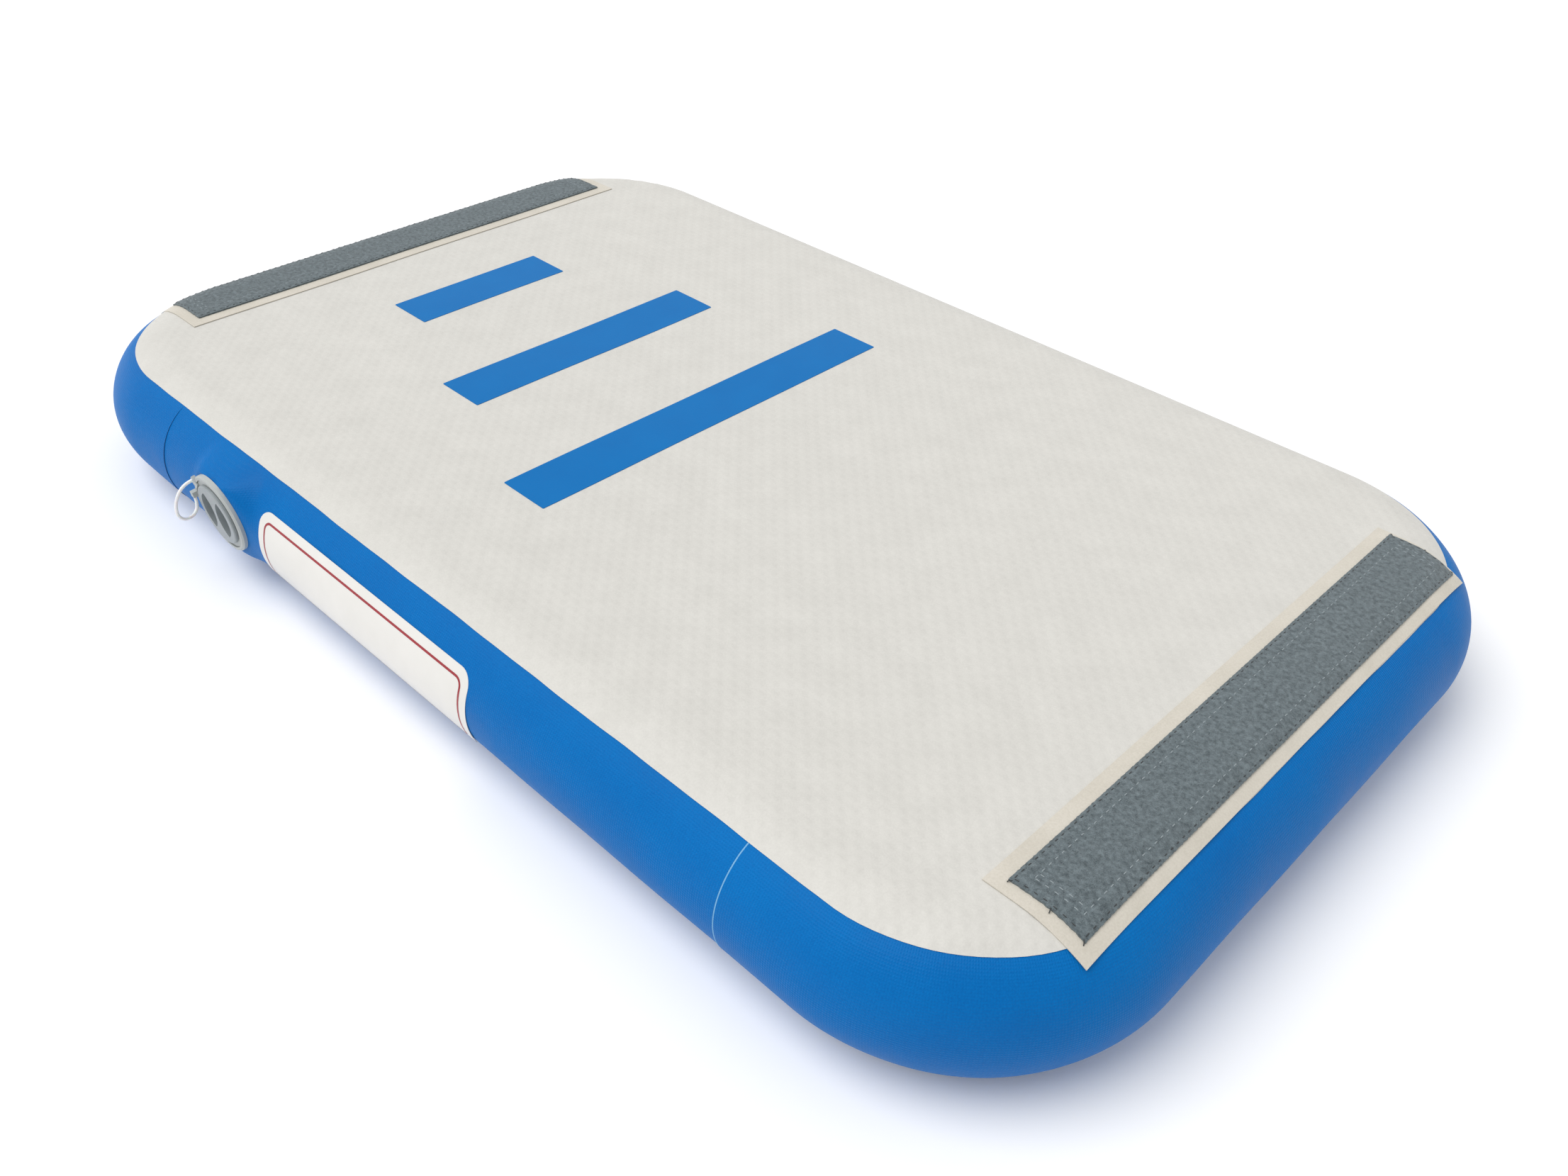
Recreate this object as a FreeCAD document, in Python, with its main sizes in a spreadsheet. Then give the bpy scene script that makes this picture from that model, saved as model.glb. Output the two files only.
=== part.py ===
"""Air track mat: a small inflatable drop-stitch board for gymnastics.

Frame: +X along the mat towards the near end, +Y away from the valve side, +Z up.
The origin is the centre of the flat face that the mat rests on. Lengths are in millimetres.
"""

import FreeCAD, Part
import math
import os
import Sketcher

doc = FreeCAD.newDocument("air_track_mat")
sizes = doc.addObject("Spreadsheet::Sheet", "Sizes")

# Every size that can be set by itself, with what it is.
DIMENSIONS = [
    # The inflated mat.
    ("mat_length", 970, "overall length, inflated"),
    ("mat_width", 600, "overall width, inflated"),
    ("mat_thickness", 100, "height between the two flat faces"),
    ("corner_radius", 137, "corner radius of the outline seen from above"),
    ("rim_flat", 0.4, "height of the upright band at the middle of the round rim"),
    ("skin", 0.9, "coated fabric thickness of sheets and side panels"),
    ("wrap_angle", 30, "how far round the rim the sheets reach, from the upright, in degrees"),
    ("panel_joint", 305, "distance from the middle to the joints of the side panels"),
    ("tape_skin", 1.2, "thickness of the tapes inside the seams"),
    ("seam_tape_outer", 11, "distance from a flat face to the far edge of its seam tape"),
    ("seam_tape_inner", 2.7, "distance from a flat face to the near edge of its seam tape"),
    ("joint_tape_half", 12, "half width of the tapes behind the side panel joints"),
    ("joint_tape_margin", 12, "distance from those tapes' ends to the flat faces"),
    ("yarn_pitch", 60, "spacing of the drop-stitch yarns"),
    ("yarn_radius", 0.6, "radius of one bundle of drop-stitch yarns"),
    # Stripes glued across the top.
    ("stripe_width", 43, "width of each stripe"),
    ("stripe_pitch", 138, "spacing of the stripes"),
    ("stripe_first", -299, "place of the shortest stripe's middle line"),
    ("stripe_side_shift", -6, "how far the stripes sit off the middle line"),
    ("stripe_short_length", 142, "length of the shortest stripe"),
    ("stripe_growth", 95, "how much longer each next stripe is"),
    ("stripe_film", 0.4, "thickness of the stripe film"),
    # Loop strips at the two ends.
    ("strip_inner_edge", 406, "distance from the middle to a loop strip's inner edge"),
    ("strip_width", 46.5, "width of a loop strip"),
    ("strip_length", 413, "length of a loop strip"),
    ("strip_pile", 1.8, "thickness of a loop strip"),
    ("patch_margin", 9, "how far the carrier patch shows round the strip"),
    ("patch_overhang", 11, "how far the carrier patch runs past the strip's outer edge"),
    ("patch_skin", 0.7, "thickness of the carrier patch"),
    ("stitch_inset", 4, "distance from the strip's edge to its row of stitches"),
    ("stitch_width", 0.9, "width of a row of thread"),
    # Blank panel on the valve side.
    ("label_length", 240, "length of the blank panel"),
    ("label_height", 57, "height of the blank panel"),
    ("label_middle", -38, "place of the blank panel's middle along the mat"),
    ("label_corner", 11, "corner radius of the blank panel"),
    ("label_film", 0.3, "thickness of the blank panel"),
    # Valve, measured along its axis from the flange's seat, outwards positive.
    ("valve_middle", -206, "place of the valve's axis along the mat"),
    ("valve_height", 56, "height of the valve's axis above the floor"),
    ("valve_tilt", 6, "how far the valve faces down, in degrees"),
    ("valve_standout", 1.2, "how far the flange's seat stands out from the rim"),
    ("seat_radius", 31, "radius of the wall's flat seat under the flange"),
    ("seat_depth", 40, "length of the drawn-out wall behind the seat"),
    ("seat_spread", 4, "how much wider the drawn-out wall is at its inner end"),
    ("flange_radius", 30, "radius of the valve flange"),
    ("flange_height", 3.6, "thickness of the flange rim"),
    ("flange_floor", 1, "thickness of the flange inside its rim"),
    ("flange_round", 1.2, "rounding of the flange's outer edge"),
    ("rim_width", 3.2, "width of the flange rim"),
    ("socket_radius", 19.6, "inside radius of the valve's socket"),
    ("sleeve_wall", 2.6, "wall thickness of the valve's sleeve"),
    ("sleeve_length", 23.5, "length of the sleeve behind the seat"),
    ("spider_height", 4, "thickness of the spider that guides the stem"),
    ("spoke_width", 4, "width of one spoke of the spider"),
    ("spoke_count", 3, "number of spokes"),
    ("spoke_root", 1, "how deep each spoke runs into the hub and the sleeve"),
    ("hub_radius", 6.5, "radius of the spider's hub"),
    ("fabric_hole_gap", 0.3, "clearance between the sleeve and the hole in the fabric"),
    ("patch_ring_width", 7, "width of the reinforcing patch and the gasket round the sleeve"),
    ("valve_patch_skin", 0.7, "thickness of the reinforcing patch behind the wall"),
    ("gasket_skin", 0.8, "thickness of the rubber gasket"),
    ("nut_height", 5, "thickness of the backing nut"),
    ("nut_width", 5.5, "width of the backing nut's ring"),
    ("nut_notches", 6, "number of spanner notches in the backing nut"),
    ("nut_notch", 5, "width of a spanner notch"),
    ("moving_gap", 0.3, "clearance between pieces that move past each other"),
    ("stem_radius", 3, "radius of the stem"),
    ("button_radius", 7, "radius of the stem's push button"),
    ("button_height", 2.5, "thickness of the push button"),
    ("button_edge", 0.6, "chamfer of the push button's edge"),
    ("button_drop", 1, "space between the cap's plug and the push button"),
    ("disc_overlap", 1.6, "how far the sealing disc reaches over the sleeve's end"),
    ("disc_height", 2, "thickness of the sealing disc"),
    ("keeper_radius", 6, "radius of the keeper on the stem's inner end"),
    ("keeper_height", 2.7, "thickness of the keeper"),
    ("spring_radius", 4.9, "middle radius of the valve spring"),
    ("spring_wire", 0.45, "radius of the spring's wire"),
    ("spring_turns", 4.5, "number of turns of the valve spring"),
    ("cap_radius", 23, "radius of the cap"),
    ("cap_head", 2.2, "thickness of the cap's head"),
    ("cap_round", 0.7, "rounding of the cap's edge"),
    ("plug_length", 9, "length of the cap's plug under its head"),
    ("plug_lead", 1, "chamfer of the plug's end"),
    ("well_depth", 7.5, "depth of the finger wells"),
    ("well_reach", 17.6, "radius of the circle that the finger wells end on"),
    ("well_curve", 20, "radius of the curved sides of the grip bar"),
    ("grip_waist", 4, "width of the grip bar at its waist"),
    ("seal_wire", 0.8, "radius of the cap seal's section"),
    ("seal_place", 4.5, "distance of the cap seal below the head"),
    ("seal_gap", 0.02, "clearance of the cap seal in its groove"),
    ("ring_height", 1.4, "thickness of the tether ring"),
    ("lug_width", 6, "width of the tether ring's lug"),
    ("lug_reach", 32.5, "distance from the axis to the lug's end face"),
    ("lug_height", 2.8, "thickness of the lug"),
    ("lug_root", 2, "how deep the lug runs into the ring from the flange rim's inside"),
    ("lug_notch_gap", 0.5, "clearance beside the ring's lug in the flange rim"),
    ("lug_angle", 144.8, "direction of the lug seen from outside, in degrees"),
    ("anchor_gap", 0.4, "clearance between the tether ring and the cord anchor on the rim"),
    ("anchor_width", 4, "width of the cord anchor across the rim"),
    ("anchor_low", 2.4, "height of the anchor's underside above the axis"),
    ("anchor_length", 4.5, "length of the cord anchor along the rim"),
    ("anchor_front", 7, "how far the cord anchor stands out from the seat"),
    ("cord_radius", 1.2, "radius of the tether cord"),
    # How far the blocks that cut or trim a shape run past it.
    ("past_mat", 50, "how far the zones that divide the mat's skin run past it"),
    ("past_piece", 1, "how far a cutting block runs past a small piece"),
]
for row, (alias, value, meaning) in enumerate(DIMENSIONS, start=1):
    sizes.set(f"A{row}", meaning)
    sizes.set(f"B{row}", str(value))
    sizes.setAlias(f"B{row}", alias)
doc.recompute()


def size(alias):
    """A driving size as a number, for shapes that are worked out here."""
    return float(getattr(sizes, alias))


def bind(thing, **expressions):
    """Ties properties of a document object to the sheet. A double underscore stands for a dot."""
    for name, expression in expressions.items():
        thing.setExpression(name.replace("__", "."), expression)
    return thing


def box(name, low, high):
    """A box between two corners, each given as three expressions of the sheet."""
    block = doc.addObject("Part::Box", name)
    spans = [f"({b}) - ({a})" for a, b in zip(low, high)]
    bind(block, Length=spans[0], Width=spans[1], Height=spans[2])
    return bind(block, Placement__Base__x=low[0], Placement__Base__y=low[1], Placement__Base__z=low[2])


def cut(name, base, tool):
    """base with tool taken away."""
    result = doc.addObject("Part::Cut", name)
    result.Base, result.Tool = base, tool
    return result


def common(name, base, tool):
    """The part of base inside tool."""
    result = doc.addObject("Part::Common", name)
    result.Base, result.Tool = base, tool
    return result


def fuse(name, *parts):
    """Several shapes as one."""
    result = doc.addObject("Part::MultiFuse", name)
    result.Shapes = list(parts)
    return result


def origin_plane(body, role):
    """One of a body's own origin planes."""
    return next(f for f in body.Origin.OriginFeatures if f.Role == role)


def new_sketch(body, name, role):
    """An empty sketch on one of the body's origin planes."""
    sketch = body.newObject("Sketcher::SketchObject", name)
    sketch.AttachmentSupport = (origin_plane(body, role), [""])
    sketch.MapMode = "FlatFace"
    return sketch


def draw_polygon(sketch, corners):
    """Closes a polygon whose corners are pairs of expressions, each corner dimensioned from the origin."""
    first = sketch.GeometryCount
    count = len(corners)
    doc.recompute()
    spots = [FreeCAD.Vector(value_of(x), value_of(y), 0) for x, y in corners]
    for place in range(count):
        sketch.addGeometry(Part.LineSegment(spots[place], spots[(place + 1) % count]), False)
    for place in range(count):
        line, following = first + place, first + (place + 1) % count
        sketch.addConstraint(Sketcher.Constraint("Coincident", line, 2, following, 1))
    for place, (x, y) in enumerate(corners):
        for kind, expression in (("DistanceX", x), ("DistanceY", y)):
            at = sketch.addConstraint(Sketcher.Constraint(kind, first + place, 1, value_of(expression)))
            sketch.setExpression(f"Constraints[{at}]", expression)
    return sketch


def value_of(expression):
    """The number that an expression of the sheet gives."""
    return float(sizes.evalExpression(str(expression)))


def turned(name, corners):
    """A body turned about the valve's axis from a closed outline of (radius, place along the axis)."""
    body = doc.addObject("PartDesign::Body", name)
    outline = draw_polygon(new_sketch(body, f"{name}_outline", "XZ_Plane"), corners)
    turn = body.newObject("PartDesign::Revolution", f"{name}_turn")
    turn.Profile = outline
    turn.ReferenceAxis = (outline, ["V_Axis"])
    turn.Angle = 360
    return body


def tube_outline(inner, outer, low, high):
    """The outline of a plain ring."""
    return [(inner, low), (outer, low), (outer, high), (inner, high)]


def seat_on_valve(thing):
    """Places a piece made along the Z axis on the valve's axis, which leaves the mat's side."""
    thing.Placement = FreeCAD.Placement(FreeCAD.Vector(), FreeCAD.Rotation(FreeCAD.Vector(1, 0, 0), 90))
    bind(thing, Placement__Rotation__Angle="90 + Sizes.valve_tilt")
    bind(thing, Placement__Base__x="Sizes.valve_middle", Placement__Base__z="Sizes.valve_height")
    return bind(thing, Placement__Base__y="-(Sizes.mat_width / 2 + Sizes.valve_standout)")


NODES = {}


def node(name, thing):
    """Names a finished sub-part."""
    thing.Label = name
    NODES[name] = thing
    return thing


# --- The inflated body --------------------------------------------------------------------------


# Two heights this close count as level.
LEVEL = 1e-6


def pillow(name, grow):
    """The mat's inflated outline, moved outwards by grow: a slab with round corners and a round rim."""
    body = doc.addObject("PartDesign::Body", name)
    half_x = f"Sizes.mat_length / 2 + {grow}"
    half_y = f"Sizes.mat_width / 2 + {grow}"
    corners = [(f"{a}({half_x})", f"{b}({half_y})") for a, b in (("-", "-"), ("", "-"), ("", ""), ("-", ""))]
    plan = draw_polygon(new_sketch(body, f"{name}_plan", "XY_Plane"), corners)
    pad = body.newObject("PartDesign::Pad", f"{name}_pad")
    pad.Profile = plan
    bind(pad, Length=f"Sizes.mat_thickness + 2 * ({grow})")
    doc.recompute()
    corner = body.newObject("PartDesign::Fillet", f"{name}_corner")
    corner.Base = (pad, [f"Edge{n}" for n, edge in enumerate(pad.Shape.Edges, 1) if is_upright(edge)])
    bind(corner, Radius=f"Sizes.corner_radius + {grow}")
    doc.recompute()
    rim = body.newObject("PartDesign::Fillet", f"{name}_rim")
    rim.Base = (corner, [f"Edge{n}" for n, edge in enumerate(corner.Shape.Edges, 1) if is_level(edge)])
    bind(rim, Radius=f"(Sizes.mat_thickness - Sizes.rim_flat) / 2 + {grow}")
    return bind(body, Placement__Base__z=f"-({grow})")


def is_upright(edge):
    """Whether an edge runs straight up."""
    return edge.BoundBox.ZLength > LEVEL and edge.BoundBox.XLength + edge.BoundBox.YLength < LEVEL


def is_level(edge):
    """Whether an edge lies in a level plane."""
    return edge.BoundBox.ZLength < LEVEL


outside = pillow("outside", "0")
inside = pillow("inside", "(-Sizes.skin)")
tape_inside = pillow("tape_inside", "(-Sizes.skin - Sizes.tape_skin)")
label_outside = pillow("label_outside", "Sizes.label_film")
patch_outside = pillow("patch_outside", "Sizes.patch_skin")
strip_outside = pillow("strip_outside", "(Sizes.patch_skin + Sizes.strip_pile)")

HALF_X = "(Sizes.mat_length / 2 + Sizes.past_mat)"
HALF_Y = "(Sizes.mat_width / 2 + Sizes.past_mat)"
ABOVE = "(Sizes.mat_thickness + Sizes.past_mat)"
BELOW = "-Sizes.past_mat"
SEAM_DROP = "(Sizes.mat_thickness / 2 * (1 - cos(Sizes.wrap_angle * 1deg)))"
UPPER_SEAM = f"(Sizes.mat_thickness - {SEAM_DROP})"
LOWER_SEAM = SEAM_DROP

# The coated fabric: two sheets that wrap over the rim, and four side panels between them.
wall = cut("fabric", outside, inside)
upper = box("upper_zone", (f"-{HALF_X}", f"-{HALF_Y}", UPPER_SEAM), (HALF_X, HALF_Y, ABOVE))
lower = box("lower_zone", (f"-{HALF_X}", f"-{HALF_Y}", BELOW), (HALF_X, HALF_Y, LOWER_SEAM))
node("top_sheet", common("top_sheet", wall, upper))
node("bottom_sheet", common("bottom_sheet", wall, lower))

JOINT = "Sizes.panel_joint"
PANEL_ZONES = {
    "plain_side_panel": ((f"-{JOINT}", "0", LOWER_SEAM), (JOINT, HALF_Y, UPPER_SEAM)),
    "near_end_panel": ((JOINT, f"-{HALF_Y}", LOWER_SEAM), (HALF_X, HALF_Y, UPPER_SEAM)),
    "far_end_panel": ((f"-{HALF_X}", f"-{HALF_Y}", LOWER_SEAM), (f"-{JOINT}", HALF_Y, UPPER_SEAM)),
}
for name, (low, high) in PANEL_ZONES.items():
    node(name, common(name, wall, box(f"{name}_zone", low, high)))


def move_behind_seat(thing):
    """Starts a piece on the valve's axis at seat_depth behind the flange's seat."""
    bind(thing, Placement__Base__y=(
        "-(Sizes.mat_width / 2 + Sizes.valve_standout) + Sizes.seat_depth * cos(Sizes.valve_tilt * 1deg)"
    ))
    return bind(thing, Placement__Base__z=(
        "Sizes.valve_height + Sizes.seat_depth * sin(Sizes.valve_tilt * 1deg)"
    ))


def seat_cone(name, radius, start):
    """The wall drawn out to a flat seat for the valve, as a solid cone from its flat end inwards."""
    cone = doc.addObject("Part::Cone", name)
    bind(cone, Radius1=f"{radius} + Sizes.seat_spread", Radius2=radius, Height=f"Sizes.seat_depth - {start}")
    # The cone's wide end lies seat_depth behind the seat, and its small end lies start behind it.
    return move_behind_seat(seat_on_valve(cone))


drawn_outside = fuse("drawn_outside", outside, seat_cone("seat_outer", "Sizes.seat_radius", "0"))
drawn_inside = fuse(
    "drawn_inside", inside, seat_cone("seat_inner", "Sizes.seat_radius - Sizes.skin", "Sizes.skin")
)
valve_zone = box("valve_side_zone", (f"-{JOINT}", f"-{HALF_Y}", LOWER_SEAM), (JOINT, "0", UPPER_SEAM))
drawn_wall = common("drawn_wall", cut("drawn_fabric", drawn_outside, drawn_inside), valve_zone)
fabric_hole = doc.addObject("Part::Cylinder", "fabric_hole")
bind(fabric_hole, Radius="Sizes.socket_radius + Sizes.sleeve_wall + Sizes.fabric_hole_gap")
bind(fabric_hole, Height="2 * Sizes.seat_depth")
move_behind_seat(seat_on_valve(fabric_hole))
node("valve_side_panel", cut("valve_side_panel", drawn_wall, fabric_hole))

# Tapes glued behind the seams.
tape_layer = cut("tape_layer", inside, tape_inside)
TAPE_ZONES = {
    "top_seam_tape": (
        "Sizes.mat_thickness - Sizes.seam_tape_outer",
        "Sizes.mat_thickness - Sizes.seam_tape_inner",
    ),
    "bottom_seam_tape": ("Sizes.seam_tape_inner", "Sizes.seam_tape_outer"),
}
for name, (low, high) in TAPE_ZONES.items():
    zone = box(f"{name}_zone", (f"-{HALF_X}", f"-{HALF_Y}", low), (HALF_X, HALF_Y, high))
    node(name, common(name, tape_layer, zone))

joint_zones = []
for side, sign in (("near", ""), ("far", "-")):
    middle = f"{sign}{JOINT}"
    joint_zones.append(box(
        f"{side}_joint_zone",
        (f"{middle} - Sizes.joint_tape_half", f"-{HALF_Y}", "Sizes.joint_tape_margin"),
        (f"{middle} + Sizes.joint_tape_half", HALF_Y, "Sizes.mat_thickness - Sizes.joint_tape_margin"),
    ))
node("wall_joint_tapes", common("wall_joint_tapes", tape_layer, fuse("joint_zones", *joint_zones)))


def yarn_bundles():
    """The drop-stitch yarns that hold the two sheets parallel, drawn as one bundle per grid point."""
    pitch, radius = size("yarn_pitch"), size("yarn_radius")
    reach_x = size("mat_length") / 2 - size("mat_thickness") / 2 - 2 * radius
    reach_y = size("mat_width") / 2 - size("mat_thickness") / 2 - 2 * radius
    corner = max(size("corner_radius") - size("mat_thickness") / 2, 0)
    height = size("mat_thickness") - 2 * size("skin")
    bundles = []
    for along in range(-int(reach_x // pitch), int(reach_x // pitch) + 1):
        for across in range(-int(reach_y // pitch), int(reach_y // pitch) + 1):
            x, y = along * pitch, across * pitch
            past_x, past_y = abs(x) - (reach_x - corner), abs(y) - (reach_y - corner)
            if past_x > 0 and past_y > 0 and math.hypot(past_x, past_y) > corner:
                continue
            bundles.append(Part.makeCylinder(radius, height, FreeCAD.Vector(x, y, size("skin"))))
    return Part.makeCompound(bundles)


yarns = doc.addObject("Part::Feature", "drop_yarns")
yarns.Shape = yarn_bundles()
node("drop_yarns", yarns)

# --- What is glued and sewn to the outside ------------------------------------------------------

for place, name in enumerate(("stripe_short", "stripe_mid", "stripe_long")):
    middle = f"(Sizes.stripe_first + {place} * Sizes.stripe_pitch)"
    half = f"(Sizes.stripe_short_length + {place} * Sizes.stripe_growth) / 2"
    node(name, box(
        name,
        (f"{middle} - Sizes.stripe_width / 2", f"Sizes.stripe_side_shift - {half}", "Sizes.mat_thickness"),
        (
            f"{middle} + Sizes.stripe_width / 2",
            f"Sizes.stripe_side_shift + {half}",
            "Sizes.mat_thickness + Sizes.stripe_film",
        ),
    ))


def end_zone(name, sign, inner, outer, half):
    """A zone at one end of the mat, from inner to outer, that reaches half to each side."""
    if sign < 0:
        inner, outer = f"-({outer})", f"-({inner})"
    middle_height = "Sizes.mat_thickness / 2"
    return box(name, (inner, f"-({half})", middle_height), (outer, half, ABOVE))


STRIP_OUTER = "Sizes.strip_inner_edge + Sizes.strip_width"
HALF_STRIP = "Sizes.strip_length / 2"
patch_layer = cut("patch_layer", patch_outside, outside)
strip_layer = cut("strip_layer", strip_outside, patch_outside)
for end, sign in (("near", 1), ("far", -1)):
    patch_zone = end_zone(
        f"{end}_patch_zone", sign, "Sizes.strip_inner_edge - Sizes.patch_margin",
        f"{STRIP_OUTER} + Sizes.patch_overhang", f"{HALF_STRIP} + Sizes.patch_margin",
    )
    node(f"{end}_patch", common(f"{end}_patch", patch_layer, patch_zone))
    strip_zone = end_zone(f"{end}_strip_zone", sign, "Sizes.strip_inner_edge", STRIP_OUTER, HALF_STRIP)
    whole_strip = common(f"{end}_whole_strip", strip_layer, strip_zone)
    rows = []
    for row, start in (
        ("inner", "Sizes.strip_inner_edge + Sizes.stitch_inset"),
        ("outer", f"{STRIP_OUTER} - Sizes.stitch_inset - Sizes.stitch_width"),
    ):
        rows.append(end_zone(
            f"{end}_{row}_row", sign, start, f"{start} + Sizes.stitch_width",
            f"{HALF_STRIP} - Sizes.stitch_inset",
        ))
    thread_zone = fuse(f"{end}_rows", *rows)
    node(f"{end}_stitching", common(f"{end}_stitching", strip_layer, thread_zone))
    node(f"{end}_loop_strip", cut(f"{end}_loop_strip", whole_strip, thread_zone))

# The blank panel, cut from a thin layer on the rim by a block with round corners.
label_block = box(
    "label_block",
    (
        "Sizes.label_middle - Sizes.label_length / 2",
        f"-{HALF_Y}",
        "(Sizes.mat_thickness - Sizes.label_height) / 2",
    ),
    (
        "Sizes.label_middle + Sizes.label_length / 2",
        "-Sizes.mat_width / 2 + Sizes.mat_thickness / 2",
        "(Sizes.mat_thickness + Sizes.label_height) / 2",
    ),
)
doc.recompute()
label_form = doc.addObject("Part::Fillet", "label_form")
label_form.Base = label_block
label_form.Edges = [
    (n, size("label_corner"), size("label_corner"))
    for n, edge in enumerate(label_block.Shape.Edges, 1)
    if edge.BoundBox.YLength > LEVEL
]
node("side_label", common("side_label", cut("label_layer", label_outside, outside), label_form))

# --- The valve, each piece made along Z with the flange's seat at zero ---------------------------

SLEEVE = "(Sizes.socket_radius + Sizes.sleeve_wall)"
RIM = "(Sizes.flange_radius - Sizes.rim_width)"
SLEEVE_END = "(-Sizes.sleeve_length)"
SPIDER_TOP = f"({SLEEVE_END} + Sizes.spider_height)"
GUIDE = "(Sizes.stem_radius + Sizes.moving_gap)"


def lug(name, low, gap="0"):
    """The block on the tether ring that holds the cord, or the notch for it in the flange rim."""
    block = doc.addObject("Part::Box", name)
    inner = f"({RIM} - Sizes.lug_root)"
    half = f"(Sizes.lug_width / 2 + {gap})"
    turn = "(Sizes.lug_angle * 1deg)"
    bind(block, Length=f"Sizes.lug_reach - {inner}", Width=f"2 * {half}", Height="Sizes.lug_height")
    bind(block, Placement__Rotation__Angle="Sizes.lug_angle")
    bind(block, Placement__Base__x=f"{inner} * cos({turn}) + {half} * sin({turn})")
    bind(block, Placement__Base__y=f"{inner} * sin({turn}) - {half} * cos({turn})")
    return bind(block, Placement__Base__z=low)


valve_core = turned("valve_core", [
    ("Sizes.socket_radius", SLEEVE_END),
    (SLEEVE, SLEEVE_END),
    (SLEEVE, "0"),
    ("Sizes.flange_radius", "0"),
    ("Sizes.flange_radius", "Sizes.flange_height - Sizes.flange_round"),
    ("Sizes.flange_radius - Sizes.flange_round", "Sizes.flange_height"),
    (RIM, "Sizes.flange_height"),
    (RIM, "Sizes.flange_floor"),
    ("Sizes.socket_radius", "Sizes.flange_floor"),
])
hub = turned("valve_hub", tube_outline(GUIDE, "Sizes.hub_radius", SLEEVE_END, SPIDER_TOP))

spokes = doc.addObject("PartDesign::Body", "valve_spokes")
spoke_plan = draw_polygon(new_sketch(spokes, "spoke_plan", "XY_Plane"), [
    ("Sizes.hub_radius - Sizes.spoke_root", "-Sizes.spoke_width / 2"),
    ("Sizes.socket_radius + Sizes.spoke_root", "-Sizes.spoke_width / 2"),
    ("Sizes.socket_radius + Sizes.spoke_root", "Sizes.spoke_width / 2"),
    ("Sizes.hub_radius - Sizes.spoke_root", "Sizes.spoke_width / 2"),
])
spoke = spokes.newObject("PartDesign::Pad", "spoke")
spoke.Profile = spoke_plan
bind(spoke, Length="Sizes.spider_height")
doc.recompute()
spoke_pattern = spokes.newObject("PartDesign::PolarPattern", "spoke_pattern")
spoke_pattern.Originals = [spoke]
spoke_pattern.Axis = (origin_plane(spokes, "Z_Axis"), [""])
spoke_pattern.Angle = 360
bind(spoke_pattern, Occurrences="Sizes.spoke_count")
spokes.Tip = spoke_pattern
bind(spokes, Placement__Base__z=SLEEVE_END)

ANCHOR_INNER = f"({RIM} - Sizes.moving_gap + Sizes.anchor_gap)"
anchor = box(
    "cord_anchor",
    (f"-({ANCHOR_INNER} + Sizes.anchor_width)", "Sizes.anchor_low", "Sizes.flange_height / 2"),
    (f"-{ANCHOR_INNER}", "Sizes.anchor_low + Sizes.anchor_length", "Sizes.anchor_front"),
)
ring_notch = lug("ring_notch", "Sizes.flange_floor", gap="Sizes.lug_notch_gap")
valve_body = cut("valve_body", fuse("valve_whole", valve_core, hub, spokes, anchor), ring_notch)
node("valve_body", seat_on_valve(valve_body))

HOLE = f"({SLEEVE} + Sizes.fabric_hole_gap)"
LAYERS = [
    ("valve_patch", "Sizes.skin", "Sizes.valve_patch_skin", "Sizes.patch_ring_width"),
    ("valve_gasket", "(Sizes.skin + Sizes.valve_patch_skin)", "Sizes.gasket_skin", "Sizes.patch_ring_width"),
]
for name, depth, thick, width in LAYERS:
    outline = tube_outline(HOLE, f"{SLEEVE} + {width}", f"-({depth} + {thick})", f"-{depth}")
    node(name, seat_on_valve(turned(name, outline)))

NUT_TOP = "(-Sizes.skin - Sizes.valve_patch_skin - Sizes.gasket_skin)"
nut_ring = turned("nut_ring", tube_outline(
    SLEEVE, f"{SLEEVE} + Sizes.nut_width", f"{NUT_TOP} - Sizes.nut_height", NUT_TOP
))
notches = []
for place in range(int(size("nut_notches"))):
    turn = f"({place} * 360deg / Sizes.nut_notches)"
    notch = doc.addObject("Part::Box", f"nut_notch_{place}")
    bind(notch, Length="Sizes.nut_width", Width="Sizes.nut_notch")
    bind(notch, Height="Sizes.nut_height + Sizes.past_piece")
    bind(notch, Placement__Rotation__Angle=turn)
    inner = f"({SLEEVE} + Sizes.nut_width / 2)"
    bind(notch, Placement__Base__x=f"{inner} * cos({turn}) + Sizes.nut_notch / 2 * sin({turn})")
    bind(notch, Placement__Base__y=f"{inner} * sin({turn}) - Sizes.nut_notch / 2 * cos({turn})")
    bind(notch, Placement__Base__z=f"{NUT_TOP} - Sizes.nut_height - Sizes.past_piece")
    notches.append(notch)
nut = cut("valve_nut", nut_ring, fuse("nut_notches", *notches))
node("valve_nut", seat_on_valve(nut))

# The spring-loaded closure: a push button on a stem that carries the sealing disc inside.
PLUG_END = "(Sizes.flange_floor + Sizes.ring_height + 2 * Sizes.moving_gap - Sizes.plug_length)"
BUTTON_TOP = f"({PLUG_END} - Sizes.button_drop)"
BUTTON_BACK = f"({BUTTON_TOP} - Sizes.button_height)"
DISC_TOP = f"({SLEEVE_END} - Sizes.moving_gap)"
DISC_BACK = f"({DISC_TOP} - Sizes.disc_height)"
KEEPER_BACK = f"({DISC_BACK} - Sizes.keeper_height)"
node("valve_stem", seat_on_valve(turned("valve_stem", [
    ("0", KEEPER_BACK),
    ("Sizes.stem_radius", KEEPER_BACK),
    ("Sizes.stem_radius", BUTTON_BACK),
    ("Sizes.button_radius", BUTTON_BACK),
    ("Sizes.button_radius", f"{BUTTON_TOP} - Sizes.button_edge"),
    ("Sizes.button_radius - Sizes.button_edge", BUTTON_TOP),
    ("0", BUTTON_TOP),
])))
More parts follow.
